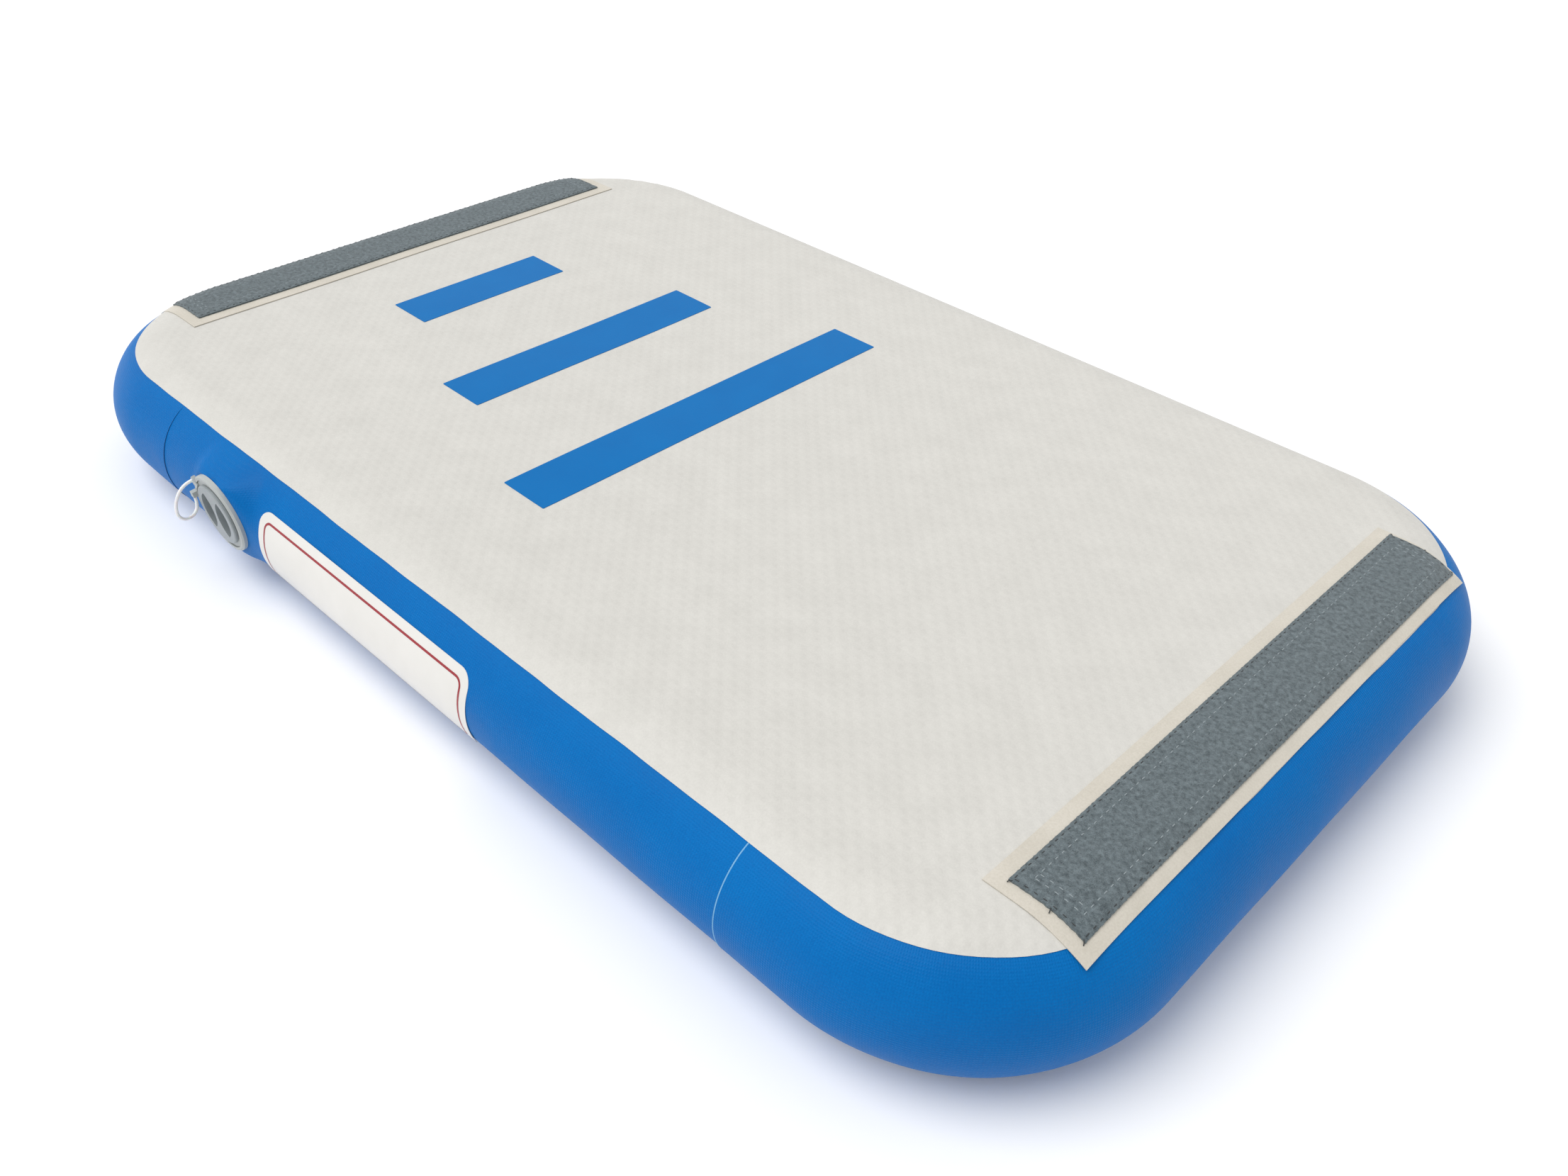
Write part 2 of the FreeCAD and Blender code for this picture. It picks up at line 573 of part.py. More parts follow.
node("sealing_disc", seat_on_valve(turned("sealing_disc", tube_outline(
    "Sizes.stem_radius", "Sizes.socket_radius + Sizes.disc_overlap", DISC_BACK, DISC_TOP
))))
node("stem_keeper", seat_on_valve(turned("stem_keeper", tube_outline(
    "Sizes.stem_radius", "Sizes.keeper_radius", KEEPER_BACK, DISC_BACK
))))


STEPS_PER_TURN = 16


def spring_coil():
    """A round-wire compression spring between the spider and the push button."""
    wire, radius = size("spring_wire"), size("spring_radius")
    low, high = value_of(SPIDER_TOP) + wire, value_of(BUTTON_BACK) - wire
    steps = round(size("spring_turns") * STEPS_PER_TURN)
    points = []
    for step in range(steps + 1):
        turn = math.tau * step / STEPS_PER_TURN
        height = low + (high - low) * step / steps
        points.append(FreeCAD.Vector(radius * math.cos(turn), radius * math.sin(turn), height))
    curve = Part.BSplineCurve()
    curve.interpolate(points)
    section = Part.makeCircle(wire, points[0], curve.tangent(curve.FirstParameter)[0])
    return Part.Wire([curve.toShape()]).makePipeShell([Part.Wire([section])], True, True)


spring = doc.addObject("Part::Feature", "valve_spring")
spring.Shape = spring_coil()
node("valve_spring", seat_on_valve(spring))

# The cap: a head with two finger wells, over a plug that screws into the socket.
HEAD_BACK = f"({PLUG_END} + Sizes.plug_length)"
HEAD_TOP = f"({HEAD_BACK} + Sizes.cap_head)"
PLUG = "(Sizes.socket_radius - Sizes.moving_gap)"
SEAL_MIDDLE = f"({HEAD_BACK} - Sizes.seal_place)"
cap_core = turned("cap_core", [
    ("0", PLUG_END),
    (f"{PLUG} - Sizes.plug_lead", PLUG_END),
    (PLUG, f"{PLUG_END} + Sizes.plug_lead"),
    (PLUG, f"{SEAL_MIDDLE} - Sizes.seal_wire"),
    (f"{PLUG} - 2 * Sizes.seal_wire", f"{SEAL_MIDDLE} - Sizes.seal_wire"),
    (f"{PLUG} - 2 * Sizes.seal_wire", f"{SEAL_MIDDLE} + Sizes.seal_wire"),
    (PLUG, f"{SEAL_MIDDLE} + Sizes.seal_wire"),
    (PLUG, HEAD_BACK),
    ("Sizes.cap_radius", HEAD_BACK),
    ("Sizes.cap_radius", f"{HEAD_TOP} - Sizes.cap_round"),
    ("Sizes.cap_radius - Sizes.cap_round", HEAD_TOP),
    ("0", HEAD_TOP),
])


def well_cylinder(name, radius, centre):
    """One of the two cylinders whose common part is a finger well."""
    round_block = doc.addObject("Part::Cylinder", name)
    bind(round_block, Radius=radius, Height="Sizes.well_depth + Sizes.past_piece")
    return bind(round_block, Placement__Base__x=centre, Placement__Base__z=f"{HEAD_TOP} - Sizes.well_depth")


wells = []
for side, sign in (("right", ""), ("left", "-")):
    reach = well_cylinder(f"{side}_reach", "Sizes.well_reach", "0")
    curve_middle = f"{sign}(Sizes.well_curve + Sizes.grip_waist / 2)"
    curve = well_cylinder(f"{side}_curve", "Sizes.well_curve", curve_middle)
    wells.append(common(f"{side}_well", reach, curve))
node("valve_cap", seat_on_valve(cut("valve_cap", cap_core, fuse("finger_wells", *wells))))

seal = doc.addObject("Part::Torus", "cap_seal")
bind(seal, Radius1=f"{PLUG} - Sizes.seal_wire", Radius2="Sizes.seal_wire - Sizes.seal_gap")
seal_place = doc.addObject("Part::Compound", "cap_seal_placed")
bind(seal, Placement__Base__z=SEAL_MIDDLE)
seal_place.Links = [seal]
node("cap_seal", seat_on_valve(seal_place))

# The ring that stays under the cap's head and holds one end of the tether cord.
RING_LOW = "(Sizes.flange_floor + Sizes.moving_gap)"
ring_core = turned("ring_core", tube_outline(
    f"{PLUG} + Sizes.moving_gap", f"{RIM} - Sizes.moving_gap", RING_LOW, f"{RING_LOW} + Sizes.ring_height"
))
ring_lug = lug("ring_lug", RING_LOW)
node("tether_ring", seat_on_valve(fuse("tether_ring", ring_core, ring_lug)))

# The tether cord, from the ring's lug out, down and back up to the anchor on the flange rim.
CORD_ROUTE = [
    (-231.2, -307.14, 73.27),
    (-231.2, -314.7, 72.48),
    (-229.8, -322.75, 62.99),
    (-228.8, -324.59, 53.74),
    (-229.2, -322.17, 47.96),
    (-230.2, -316.67, 45.32),
    (-232.0, -310.72, 46.15),
    (-234.1, -306.79, 50.79),
    (-234.6, -307.0, 57.6),
]
# An arc takes this share of the shorter run beside it.
ARC_SHARE = 0.45


def cord_path(route):
    """Straight runs joined by tangent arcs, each arc as large as its runs allow."""
    points = [FreeCAD.Vector(*point) for point in route]
    edges, start = [], points[0]
    for before, corner, after in zip(points, points[1:], points[2:]):
        into, out = (corner - before).normalize(), (after - corner).normalize()
        turn = into.getAngle(out)
        reach = ARC_SHARE * min(corner.distanceToPoint(before), corner.distanceToPoint(after))
        print(f"cord turn {math.degrees(turn):5.1f} deg, radius {reach / math.tan(turn / 2):5.1f} mm")
        first, last = corner - into * reach, corner + out * reach
        inward = (out - into).normalize()
        sagitta = reach / math.tan(turn / 2) * (1 / math.cos(turn / 2) - 1)
        edges.append(Part.LineSegment(start, first).toShape())
        edges.append(Part.Arc(first, corner + inward * sagitta, last).toShape())
        start = last
    edges.append(Part.LineSegment(start, points[-1]).toShape())
    return Part.Wire(edges)


def cord_tube(route, radius):
    """A round tube along the cord's path."""
    path = cord_path(route)
    heading = FreeCAD.Vector(*route[1]) - FreeCAD.Vector(*route[0])
    section = Part.makeCircle(radius, FreeCAD.Vector(*route[0]), heading)
    tube = path.makePipeShell([Part.Wire([section])], True, False)
    print(f"cord length {path.Length:.1f} mm")
    return tube


cord = doc.addObject("Part::Feature", "cap_tether")
cord.Shape = cord_tube(CORD_ROUTE, size("cord_radius"))
node("cap_tether", cord)
doc.recompute()

# --- Checks and output ---------------------------------------------------------------------------

for thing in doc.Objects:
    if "Invalid" in thing.State or "Error" in thing.State:
        raise RuntimeError(f"{thing.Name} failed: {thing.State}")
for name, thing in NODES.items():
    if thing.Shape.isNull() or not thing.Shape.isValid():
        raise RuntimeError(f"{name} has no valid shape")

os.makedirs("parts", exist_ok=True)
for name, thing in NODES.items():
    thing.Shape.exportStep(f"parts/{name}.step")
    box_of = thing.Shape.BoundBox
    print(f"{name:18s} solids {len(thing.Shape.Solids):3d}  volume {thing.Shape.Volume:12.1f}  "
          f"x {box_of.XMin:8.2f} {box_of.XMax:8.2f}  y {box_of.YMin:8.2f} {box_of.YMax:8.2f}  "
          f"z {box_of.ZMin:7.2f} {box_of.ZMax:7.2f}")
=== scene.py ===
# %% [markdown]
# # Air track mat
# A small inflatable gymnastics mat: two coated sheets held flat by thousands of yarns, a round blue rim, loop
# strips at both ends and a valve. The solid model is the fixed frame, and every soft piece is modelled here
# as thin material laid on the inflated shape.

import math

import bmesh
import bpy
import numpy as np
from mathutils import Matrix, Vector, geometry


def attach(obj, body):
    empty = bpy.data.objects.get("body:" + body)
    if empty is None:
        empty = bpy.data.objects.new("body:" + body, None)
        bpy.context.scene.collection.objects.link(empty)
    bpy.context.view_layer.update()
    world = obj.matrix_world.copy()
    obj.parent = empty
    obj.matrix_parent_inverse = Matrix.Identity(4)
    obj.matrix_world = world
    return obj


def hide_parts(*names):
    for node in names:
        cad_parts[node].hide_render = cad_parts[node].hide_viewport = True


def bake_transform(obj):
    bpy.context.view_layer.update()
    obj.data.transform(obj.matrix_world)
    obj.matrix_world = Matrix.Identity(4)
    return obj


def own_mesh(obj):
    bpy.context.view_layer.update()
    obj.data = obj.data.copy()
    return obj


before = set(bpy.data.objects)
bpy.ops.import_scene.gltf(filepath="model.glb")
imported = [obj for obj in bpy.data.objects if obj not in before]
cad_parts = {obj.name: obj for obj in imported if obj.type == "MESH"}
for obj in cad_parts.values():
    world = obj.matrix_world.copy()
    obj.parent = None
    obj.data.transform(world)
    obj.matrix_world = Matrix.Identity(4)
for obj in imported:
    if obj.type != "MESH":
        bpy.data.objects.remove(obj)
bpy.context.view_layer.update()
MM = 0.001

# %% [markdown]
# ## Camera
# A product view from the near corner on the valve side. A camera looks along its own -Z axis with +Y up, so
# its three axes are given as the columns of its rotation. The sensor is 36 mm wide, and the lens follows
# from the field of view.

# %% Camera
camera = bpy.data.objects.new("camera", bpy.data.cameras.new("camera"))
bpy.context.scene.collection.objects.link(camera)
bpy.context.scene.camera = camera
rightward = Vector((0.716158, 0.697355, 0.028533))
upward = Vector((-0.443352, 0.422972, 0.790275))
backward = Vector((0.539033, -0.578612, 0.612088))
camera.matrix_world = Matrix.Translation((0.625794, -0.609488, 0.619534)) @ Matrix(
    (rightward, upward, backward)
).transposed().to_4x4()
camera.data.sensor_width = 36
camera.data.lens = 31.545
camera.data.clip_start = 0.01
print("lens", camera.data.lens, "mm")

# %% [markdown]
# ## Materials: one helper for nodes, one for colour
# Blender's shader nodes work in linear light, while a colour chart gives sRGB hex values, so one function
# turns the one into the other. A second function adds a node with its settings and its sockets, which are
# either plain values or the output of another node.

# %% Material helpers
def linear(hex_colour):
    """An sRGB hex colour as linear RGBA."""
    parts = [int(hex_colour[i:i + 2], 16) / 255 for i in (1, 3, 5)]
    return [c / 12.92 if c <= 0.04045 else ((c + 0.055) / 1.055) ** 2.4 for c in parts] + [1.0]


def add(material, kind, sockets=None, **settings):
    """Adds a node of this kind. Sockets hold values or other nodes' outputs, by name or by number."""
    new = material.node_tree.nodes.new(kind)
    for name, value in settings.items():
        setattr(new, name, value)
    for name, value in (sockets or {}).items():
        if isinstance(value, bpy.types.NodeSocket):
            material.node_tree.links.new(value, new.inputs[name])
        else:
            new.inputs[name].default_value = value
    return new


def start_material(name, **sockets):
    """A new material with the main shader, whose plain sockets are set by name."""
    material = bpy.data.materials.new(name)
    material.use_nodes = True
    shader = material.node_tree.nodes["Principled BSDF"]
    for socket, value in sockets.items():
        shader.inputs[socket.replace("_", " ")].default_value = value
    return material, shader


def link(material, output, socket):
    """Joins an output to a socket."""
    material.node_tree.links.new(output, socket)


# %% [markdown]
# ## Tether cord
# A soft white cord, 2.4 mm thick and 60 mm long, keeps the cap with the mat: it leaves the lug on the cap's
# ring, hangs out and down in one loop, and ends on the valve's rim. It could be a swept circle of points, but
# a NURBS spline through a few control points gives the smooth curve of a real cord. The points are those of
# the solid model.

# %% Cord material: flexible PVC, extruded
cord_pvc, shader = start_material(
    "white_flexible_pvc", Roughness=0.38, IOR=1.53, Subsurface_Weight=0.25, Subsurface_Scale=0.002
)
place = add(cord_pvc, "ShaderNodeTexCoord")
# Extrusion marks and handling smears, 2 mm apart.
smear = add(cord_pvc, "ShaderNodeTexNoise", {
    "Vector": place.outputs["Object"], "Scale": 1 / (2 * MM), "Detail": 3.0,
})
tint = add(cord_pvc, "ShaderNodeMix", {
    0: smear.outputs[0], 6: linear("#E2E5E8"), 7: linear("#FBFBFA"),
}, data_type="RGBA")
link(cord_pvc, tint.outputs[2], shader.inputs["Base Color"])
skin = add(cord_pvc, "ShaderNodeBump", {
    "Height": smear.outputs[0], "Strength": 0.2, "Distance": 0.1 * MM,
})
link(cord_pvc, skin.outputs[0], shader.inputs["Normal"])

# %% Cord
CORD_DIAMETER = 2.4 * MM
TUBE_STEPS, TUBE_SIDES = 8, 6
CORD_ROUTE = [
    (-231.2, -307.14, 73.27),
    (-231.2, -314.7, 72.48),
    (-229.8, -322.75, 62.99),
    (-228.8, -324.59, 53.74),
    (-229.2, -322.17, 47.96),
    (-230.2, -316.67, 45.32),
    (-232.0, -310.72, 46.15),
    (-234.1, -306.79, 50.79),
    (-234.6, -307.0, 57.6),
]
route = bpy.data.curves.new("cord_route", "CURVE")
route.dimensions = "3D"
spline = route.splines.new("NURBS")
spline.points.add(len(CORD_ROUTE) - 1)
for point, spot in zip(spline.points, CORD_ROUTE):
    point.co = [c * MM for c in spot] + [1.0]
spline.order_u = 3
spline.use_endpoint_u = True
spline.resolution_u = TUBE_STEPS
carrier = bpy.data.objects.new("cord_route", route)
bare_line = bpy.data.meshes.new_from_object(carrier)
cord_line = [tuple(v.co) for v in bare_line.vertices]
route.bevel_depth = CORD_DIAMETER / 2
route.bevel_resolution = TUBE_SIDES
route.use_fill_caps = True
cord = bpy.data.objects.new("tether_cord", bpy.data.meshes.new_from_object(carrier))
bpy.context.scene.collection.objects.link(cord)
bpy.data.objects.remove(carrier)
cord.data.materials.clear()
cord.data.materials.append(cord_pvc)
cord.data.shade_smooth()
cord_length = sum((Vector(b) - Vector(a)).length for a, b in zip(cord_line, cord_line[1:]))
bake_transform(cord)
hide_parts("cap_tether")
print("cord", round(cord_length * 1000, 1), "mm long")

# %% [markdown]
# ## The inflated shape as a function
# Every soft piece lies on the same form: two flat faces, 100 mm apart, and a rim that is half round in
# section and follows a rectangle with round corners. Instead of draping cloth over it piece by piece, one
# function gives the place of any point of a flat pattern once it is laid on the form. Past the edge of the
# flat face the pattern wraps over the rim, and its own lengths stay true.

# %% The form
RIM = 49.8 * MM
HALF_X, HALF_Y = 435.2 * MM, 250.2 * MM
FLAT_CORNER = 87.2 * MM
THICK = 100 * MM


def beyond_flat(x, y):
    """How far points lie outside the flat face's outline, and the direction straight out from it."""
    ax = np.abs(x) - (HALF_X - FLAT_CORNER)
    ay = np.abs(y) - (HALF_Y - FLAT_CORNER)
    corner = (ax > 0) & (ay > 0)
    reach = np.hypot(np.maximum(ax, 0), np.maximum(ay, 0))
    out = np.where(corner, reach - FLAT_CORNER, np.maximum(ax, ay) - FLAT_CORNER)
    safe = np.where(reach > 1e-9, reach, 1)
    nx = np.where(corner, ax / safe, (ax >= ay).astype(float)) * np.sign(x)
    ny = np.where(corner, ay / safe, (ax < ay).astype(float)) * np.sign(y)
    return out, nx, ny


def ripple(x, y):
    """The slight unevenness of an inflated drop-stitch face."""
    slow = np.sin(x / 0.061 + 0.6) * np.sin(y / 0.047 + 1.1) + 0.6 * np.sin(x / 0.023 - y / 0.031)
    return 0.22 * MM * slow


def lay_on_top(x, y, lift):
    """Places points of a flat pattern on the upper half of the mat, lift above its surface."""
    x, y = np.asarray(x, float), np.asarray(y, float)
    out, nx, ny = beyond_flat(x, y)
    wrap = np.maximum(out, 0) / RIM
    height = lift + ripple(x, y) * np.clip(-out / 0.03, 0, 1)
    radius = RIM + height
    px = x - nx * np.maximum(out, 0) + nx * radius * np.sin(wrap)
    py = y - ny * np.maximum(out, 0) + ny * radius * np.sin(wrap)
    pz = THICK - RIM + radius * np.cos(wrap)
    return np.stack([px, py, pz], -1)


print("flat face", HALF_X * 2, "by", HALF_Y * 2, "m")

# %% [markdown]
# ## Thin sheets
# Coated fabric, tape and film are all cut flat and then glued on, so one helper makes them all: it fills an
# outline with triangles, lays them on the form, and gives the sheet a real thickness with a side wall. An
# alternative is a grid with a Solidify modifier, but a grid can't follow a curved outline so cleanly.

# %% Sheet helper
def inside(points, outline):
    """Which points lie inside a closed outline."""
    x, y = points[:, 0][:, None], points[:, 1][:, None]
    a, b = outline, np.roll(outline, -1, 0)
    crosses = (a[:, 1] > y) != (b[:, 1] > y)
    rise = np.where(b[:, 1] == a[:, 1], 1e-12, b[:, 1] - a[:, 1])
    at = a[:, 0] + (y - a[:, 1]) * (b[:, 0] - a[:, 0]) / rise
    return (np.sum(crosses & (x < at), 1) % 2) == 1


def divide(corners, step):
    """A closed outline through corners, with points no further apart than step."""
    run = []
    for a, b in zip(corners, corners[1:] + corners[:1]):
        count = max(1, math.ceil(math.dist(a, b) / step))
        run += [(a[0] + (b[0] - a[0]) * k / count, a[1] + (b[1] - a[1]) * k / count) for k in range(count)]
    return np.array(run)


def round_corners(x0, x1, y0, y1, radius, steps=8):
    """Corners of a rectangle with round corners, counterclockwise."""
    spots = []
    for cx, cy, first in ((x1 - radius, y0 + radius, -90), (x1 - radius, y1 - radius, 0),
                          (x0 + radius, y1 - radius, 90), (x0 + radius, y0 + radius, 180)):
        for k in range(steps + 1):
            angle = math.radians(first + 90 * k / steps)
            spots.append((cx + radius * math.cos(angle), cy + radius * math.sin(angle)))
    return spots


def make_object(name, verts, faces, materials, body="root"):
    """A mesh object that rides on a body."""
    mesh = bpy.data.meshes.new(name)
    mesh.from_pydata([tuple(v) for v in verts], [], faces)
    thing = bpy.data.objects.new(name, mesh)
    bpy.context.scene.collection.objects.link(thing)
    for material in materials:
        mesh.materials.append(material)
    if body:
        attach(thing, body)
    return thing


def lay_sheet(name, outline, step, lay, thick, material, under=0.0, edge_lift=None, flip=False):
    """Cuts a sheet to an outline and lays it on the form with its thickness."""
    low, high = outline.min(0), outline.max(0)
    gx = np.arange(low[0] + step / 2, high[0], step)
    gy = np.arange(low[1] + step / 2, high[1], step)
    grid = np.stack(np.meshgrid(gx, gy), -1).reshape(-1, 2)
    grid = grid[inside(grid, outline)]
    near = np.full(len(grid), 9.0)
    for part in np.array_split(outline, max(1, len(outline) // 200)):
        near = np.minimum(near, np.min(np.hypot(*(grid[:, None] - part[None]).transpose(2, 0, 1)), 1))
    grid = grid[near > 0.45 * step]
    flat = np.vstack([outline, grid])
    rim = [(k, (k + 1) % len(outline)) for k in range(len(outline))]
    found = geometry.delaunay_2d_cdt([Vector(p) for p in flat], rim, [], 1, 1e-9)
    flat = np.array([tuple(p) for p in found[0]])
    faces = [list(f) for f in found[2]]
    lift = np.full(len(flat), under + thick)
    if edge_lift is not None:
        lift = lift + edge_lift(flat[:, 0], flat[:, 1])
    upper = lay(flat[:, 0], flat[:, 1], lift)
    count = len(outline)
    lower = lay(flat[:count, 0], flat[:count, 1], lift[:count] - thick)
    verts = np.vstack([upper, lower])
    walls = [[a, len(upper) + a, len(upper) + b, b] for a, b in rim]
    if flip:
        faces = [f[::-1] for f in faces]
        walls = [f[::-1] for f in walls]
    thing = make_object(name, verts, faces + walls, [material])
    mesh = thing.data
    mesh.shade_smooth()
    uv = mesh.uv_layers.new(name="pattern")
    source = np.vstack([flat, flat[:count]])
    loops = np.zeros(len(mesh.loops), int)
    mesh.loops.foreach_get("vertex_index", loops)
    uv.data.foreach_set("uv", source[loops].ravel())
    bends = bmesh.new()
    bends.from_mesh(mesh)
    for edge in bends.edges:
        if len(edge.link_faces) == 2 and edge.calc_face_angle() > math.radians(40):
            edge.smooth = False
    bends.to_mesh(mesh)
    bends.free()
    return thing


# %% [markdown]
# ## Coated fabric
# The top is polyester cloth coated with PVC and embossed, so it is matt and pale grey. The drop-stitch yarns
# pull a dimple into it every 8 mm or so, in staggered rows. The dimples are two crossed sine waves; the
# cloth's grain is a fine noise. The rim is the same cloth in blue with a smoother coat, so it has a soft
# sheen and a weave that just shows.

# %% Top fabric: PVC-coated polyester, embossed
DIMPLE = 8 * MM


def coated_fabric(name, dark, light, roughness, dimples, grain):
    """PVC-coated cloth with dimples at the yarns, a fine grain and faint handling marks."""
    material, shader = start_material(
        name, Roughness=roughness, IOR=1.53, Sheen_Weight=0.08, Sheen_Roughness=0.5,
    )
    place = add(material, "ShaderNodeTexCoord")
    cloud = add(material, "ShaderNodeTexNoise", {
        "Vector": place.outputs["Object"], "Scale": 1 / (24 * MM), "Detail": 3.0, "Roughness": 0.6,
    })
    speck = add(material, "ShaderNodeTexNoise", {
        "Vector": place.outputs["Object"], "Scale": 1 / (1.3 * MM), "Detail": 2.0, "Roughness": 0.7,
    })
    mottle = add(material, "ShaderNodeMath", {
        0: cloud.outputs[0], 1: speck.outputs[0],
    }, operation="ADD")
    share = add(material, "ShaderNodeMapRange", {0: mottle.outputs[0], 1: 0.7, 2: 1.3, 3: 0.0, 4: 1.0})
    tint = add(material, "ShaderNodeMix", {
        0: share.outputs[0], 6: linear(dark), 7: linear(light),
    }, data_type="RGBA")
    link(material, tint.outputs[2], shader.inputs["Base Color"])
    # Crossed diagonal waves leave one dimple in each diamond.
    waves = []
    for turn in (45, -45):
        turned = add(material, "ShaderNodeMapping", {
            "Vector": place.outputs["UV"], "Rotation": (0, 0, math.radians(turn)),
        })
        waves.append(add(material, "ShaderNodeTexWave", {
            "Vector": turned.outputs[0], "Scale": math.tau / (20 * DIMPLE), "Distortion": 0.6,
            "Detail": 1.0, "Detail Scale": 2.0,
        }, wave_profile="SIN"))
    yarns = add(material, "ShaderNodeMath", {
        0: waves[0].outputs[1], 1: waves[1].outputs[1],
    }, operation="MULTIPLY")
    pull = add(material, "ShaderNodeBump", {
        "Height": yarns.outputs[0], "Strength": dimples, "Distance": 0.9 * MM,
    })
    cloth = add(material, "ShaderNodeBump", {
        "Height": speck.outputs[0], "Strength": grain, "Distance": 0.25 * MM, "Normal": pull.outputs[0],
    })
    link(material, cloth.outputs[0], shader.inputs["Normal"])
    return material


top_fabric = coated_fabric(
    "grey_coated_polyester", "#CAC8C2", "#D3D1CB", 0.62, dimples=0.34, grain=0.5,
)
base_fabric = coated_fabric(
    "grey_coated_polyester_base", "#CDCCC6", "#DAD9D4", 0.62, dimples=0.32, grain=0.35,
)

# %% Rim fabric: PVC-coated polyester, calendered
THREAD = 1.6 * MM


def rim_cloth(name, dark, light):
    """Blue coated cloth whose weave, 0.6 mm in life and 1.6 mm here so that it shows, prints through."""
    material, shader = start_material(name, Roughness=0.5, IOR=1.53, Specular_IOR_Level=0.08)
    place = add(material, "ShaderNodeTexCoord")
    cloud = add(material, "ShaderNodeTexNoise", {
        "Vector": place.outputs["Object"], "Scale": 1 / (60 * MM), "Detail": 5.0, "Roughness": 0.55,
    })
    speck = add(material, "ShaderNodeTexNoise", {
        "Vector": place.outputs["Object"], "Scale": 1 / (1.0 * MM), "Detail": 2.0,
    })
    mottle = add(material, "ShaderNodeMath", {
        0: cloud.outputs[0], 1: speck.outputs[0],
    }, operation="ADD")
    share = add(material, "ShaderNodeMapRange", {
        0: mottle.outputs[0], 1: 0.65, 2: 1.35, 3: 0.0, 4: 1.0,
    })
    tint = add(material, "ShaderNodeMix", {
        0: share.outputs[0], 6: linear(dark), 7: linear(light),
    }, data_type="RGBA")
    link(material, tint.outputs[2], shader.inputs["Base Color"])
    threads = []
    for direction in ("X", "Y"):
        threads.append(add(material, "ShaderNodeTexWave", {
            "Vector": place.outputs["UV"], "Scale": math.tau / (20 * THREAD), "Distortion": 0.4,
        }, wave_profile="SIN", bands_direction=direction))
    weave = add(material, "ShaderNodeMath", {
        0: threads[0].outputs[1], 1: threads[1].outputs[1],
    }, operation="MULTIPLY")
    # The weave shows in patches, where the coat is thin.
    patchy = add(material, "ShaderNodeMath", {
        0: weave.outputs[0], 1: cloud.outputs[0],
    }, operation="MULTIPLY")
    print_through = add(material, "ShaderNodeBump", {
        "Height": patchy.outputs[0], "Strength": 0.7, "Distance": 0.4 * MM,
    })
    pulls = add(material, "ShaderNodeBump", {
        "Height": cloud.outputs[0], "Strength": 0.25, "Distance": 3 * MM, "Normal": print_through.outputs[0],
    })
    link(material, pulls.outputs[0], shader.inputs["Normal"])
    wear = add(material, "ShaderNodeMapRange", {0: cloud.outputs[0], 1: 0.3, 2: 0.7, 3: 0.4, 4: 0.54})
    link(material, wear.outputs[0], shader.inputs["Roughness"])
    return material


# Painted highlight: this pale blue paints a glint along the lip of each lapped panel's first end.
highlight_painted_edge = coated_fabric("lapped_lip_painted_highlight", "#5C9CCB", "#79B1D8", 0.7, dimples=0.0, grain=0.5)
# Painted shade: this dark blue darkens every cut edge of the panels, as if they were in shadow.
shade_painted_edge = coated_fabric("cut_edge_painted_shade", "#063E70", "#0B4C82", 0.7, dimples=0.0, grain=0.5)
rim_fabric = rim_cloth("blue_coated_polyester", "#0062AB", "#006FBA")

# %% [markdown]
# ## Top and bottom sheets
# Each sheet covers its flat face and wraps 30 degrees over the rim, where it is glued over the blue side
# panels. Its edge was trimmed by hand, so it wanders by half a millimetre, and it stands on the panel with
# its full thickness. Making it a separate piece gives that edge and its thin shadow for free.

# %% Sheets
SKIN = 0.9 * MM
WRAP = RIM * math.radians(30)
EDGE_STEP = 4 * MM


def outline_beyond(reach, wander, inset=0.0):
    """The outline of the flat face moved out by reach, wandering a little."""
    spots = divide(round_corners(-HALF_X, HALF_X, -HALF_Y, HALF_Y, FLAT_CORNER, 24), EDGE_STEP)
    _, nx, ny = beyond_flat(spots[:, 0] * 1.0001, spots[:, 1] * 1.0001)
    along = np.cumsum(np.r_[0, np.hypot(*np.diff(spots, axis=0).T)])
    drift = wander * (np.sin(along / 0.031) + 0.7 * np.sin(along / 0.0127 + 1) + 0.4 * np.sin(along / 0.0061))
    return spots + np.stack([nx, ny], 1) * (reach + drift - inset)[:, None]


def over_panels(x, y):
    """The sheet rises by a panel's thickness where it is glued over the rim's panels."""
    out, _, _ = beyond_flat(x, y)
    t = np.clip((out - (WRAP - 10 * MM)) / (5 * MM), 0, 1)
    return 0.45 * MM * t * t * (3 - 2 * t)


top_sheet = lay_sheet(
    "top_cover", outline_beyond(WRAP, 0.18 * MM), 7 * MM, lay_on_top, SKIN, top_fabric,
    under=-SKIN, edge_lift=over_panels,
)
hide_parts("top_sheet")


def lay_below(x, y, lift):
    """The same form seen from below: the pattern is laid on the underside."""
    spots = lay_on_top(x, y, lift)
    spots[..., 2] = THICK - spots[..., 2]
    spots[..., 2] = np.maximum(spots[..., 2], 0.0)
    return spots


bottom_sheet = lay_sheet(
    "bottom_cover", outline_beyond(WRAP, 0.35 * MM), 12 * MM, lay_below, SKIN, base_fabric,
    under=-SKIN, edge_lift=over_panels, flip=True,
)
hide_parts("bottom_sheet")
print("top cover", len(top_sheet.data.vertices), "points")

# %% [markdown]
# ## Side panels
# The rim is made of four blue panels whose ends overlap. Each is a grid that runs round the outline and over
# the half-round section. Where the valve sits, the panel is drawn out to a flat seat, so the grid's points
# near the valve move out along the valve's axis and fade back into the round over 16 mm.

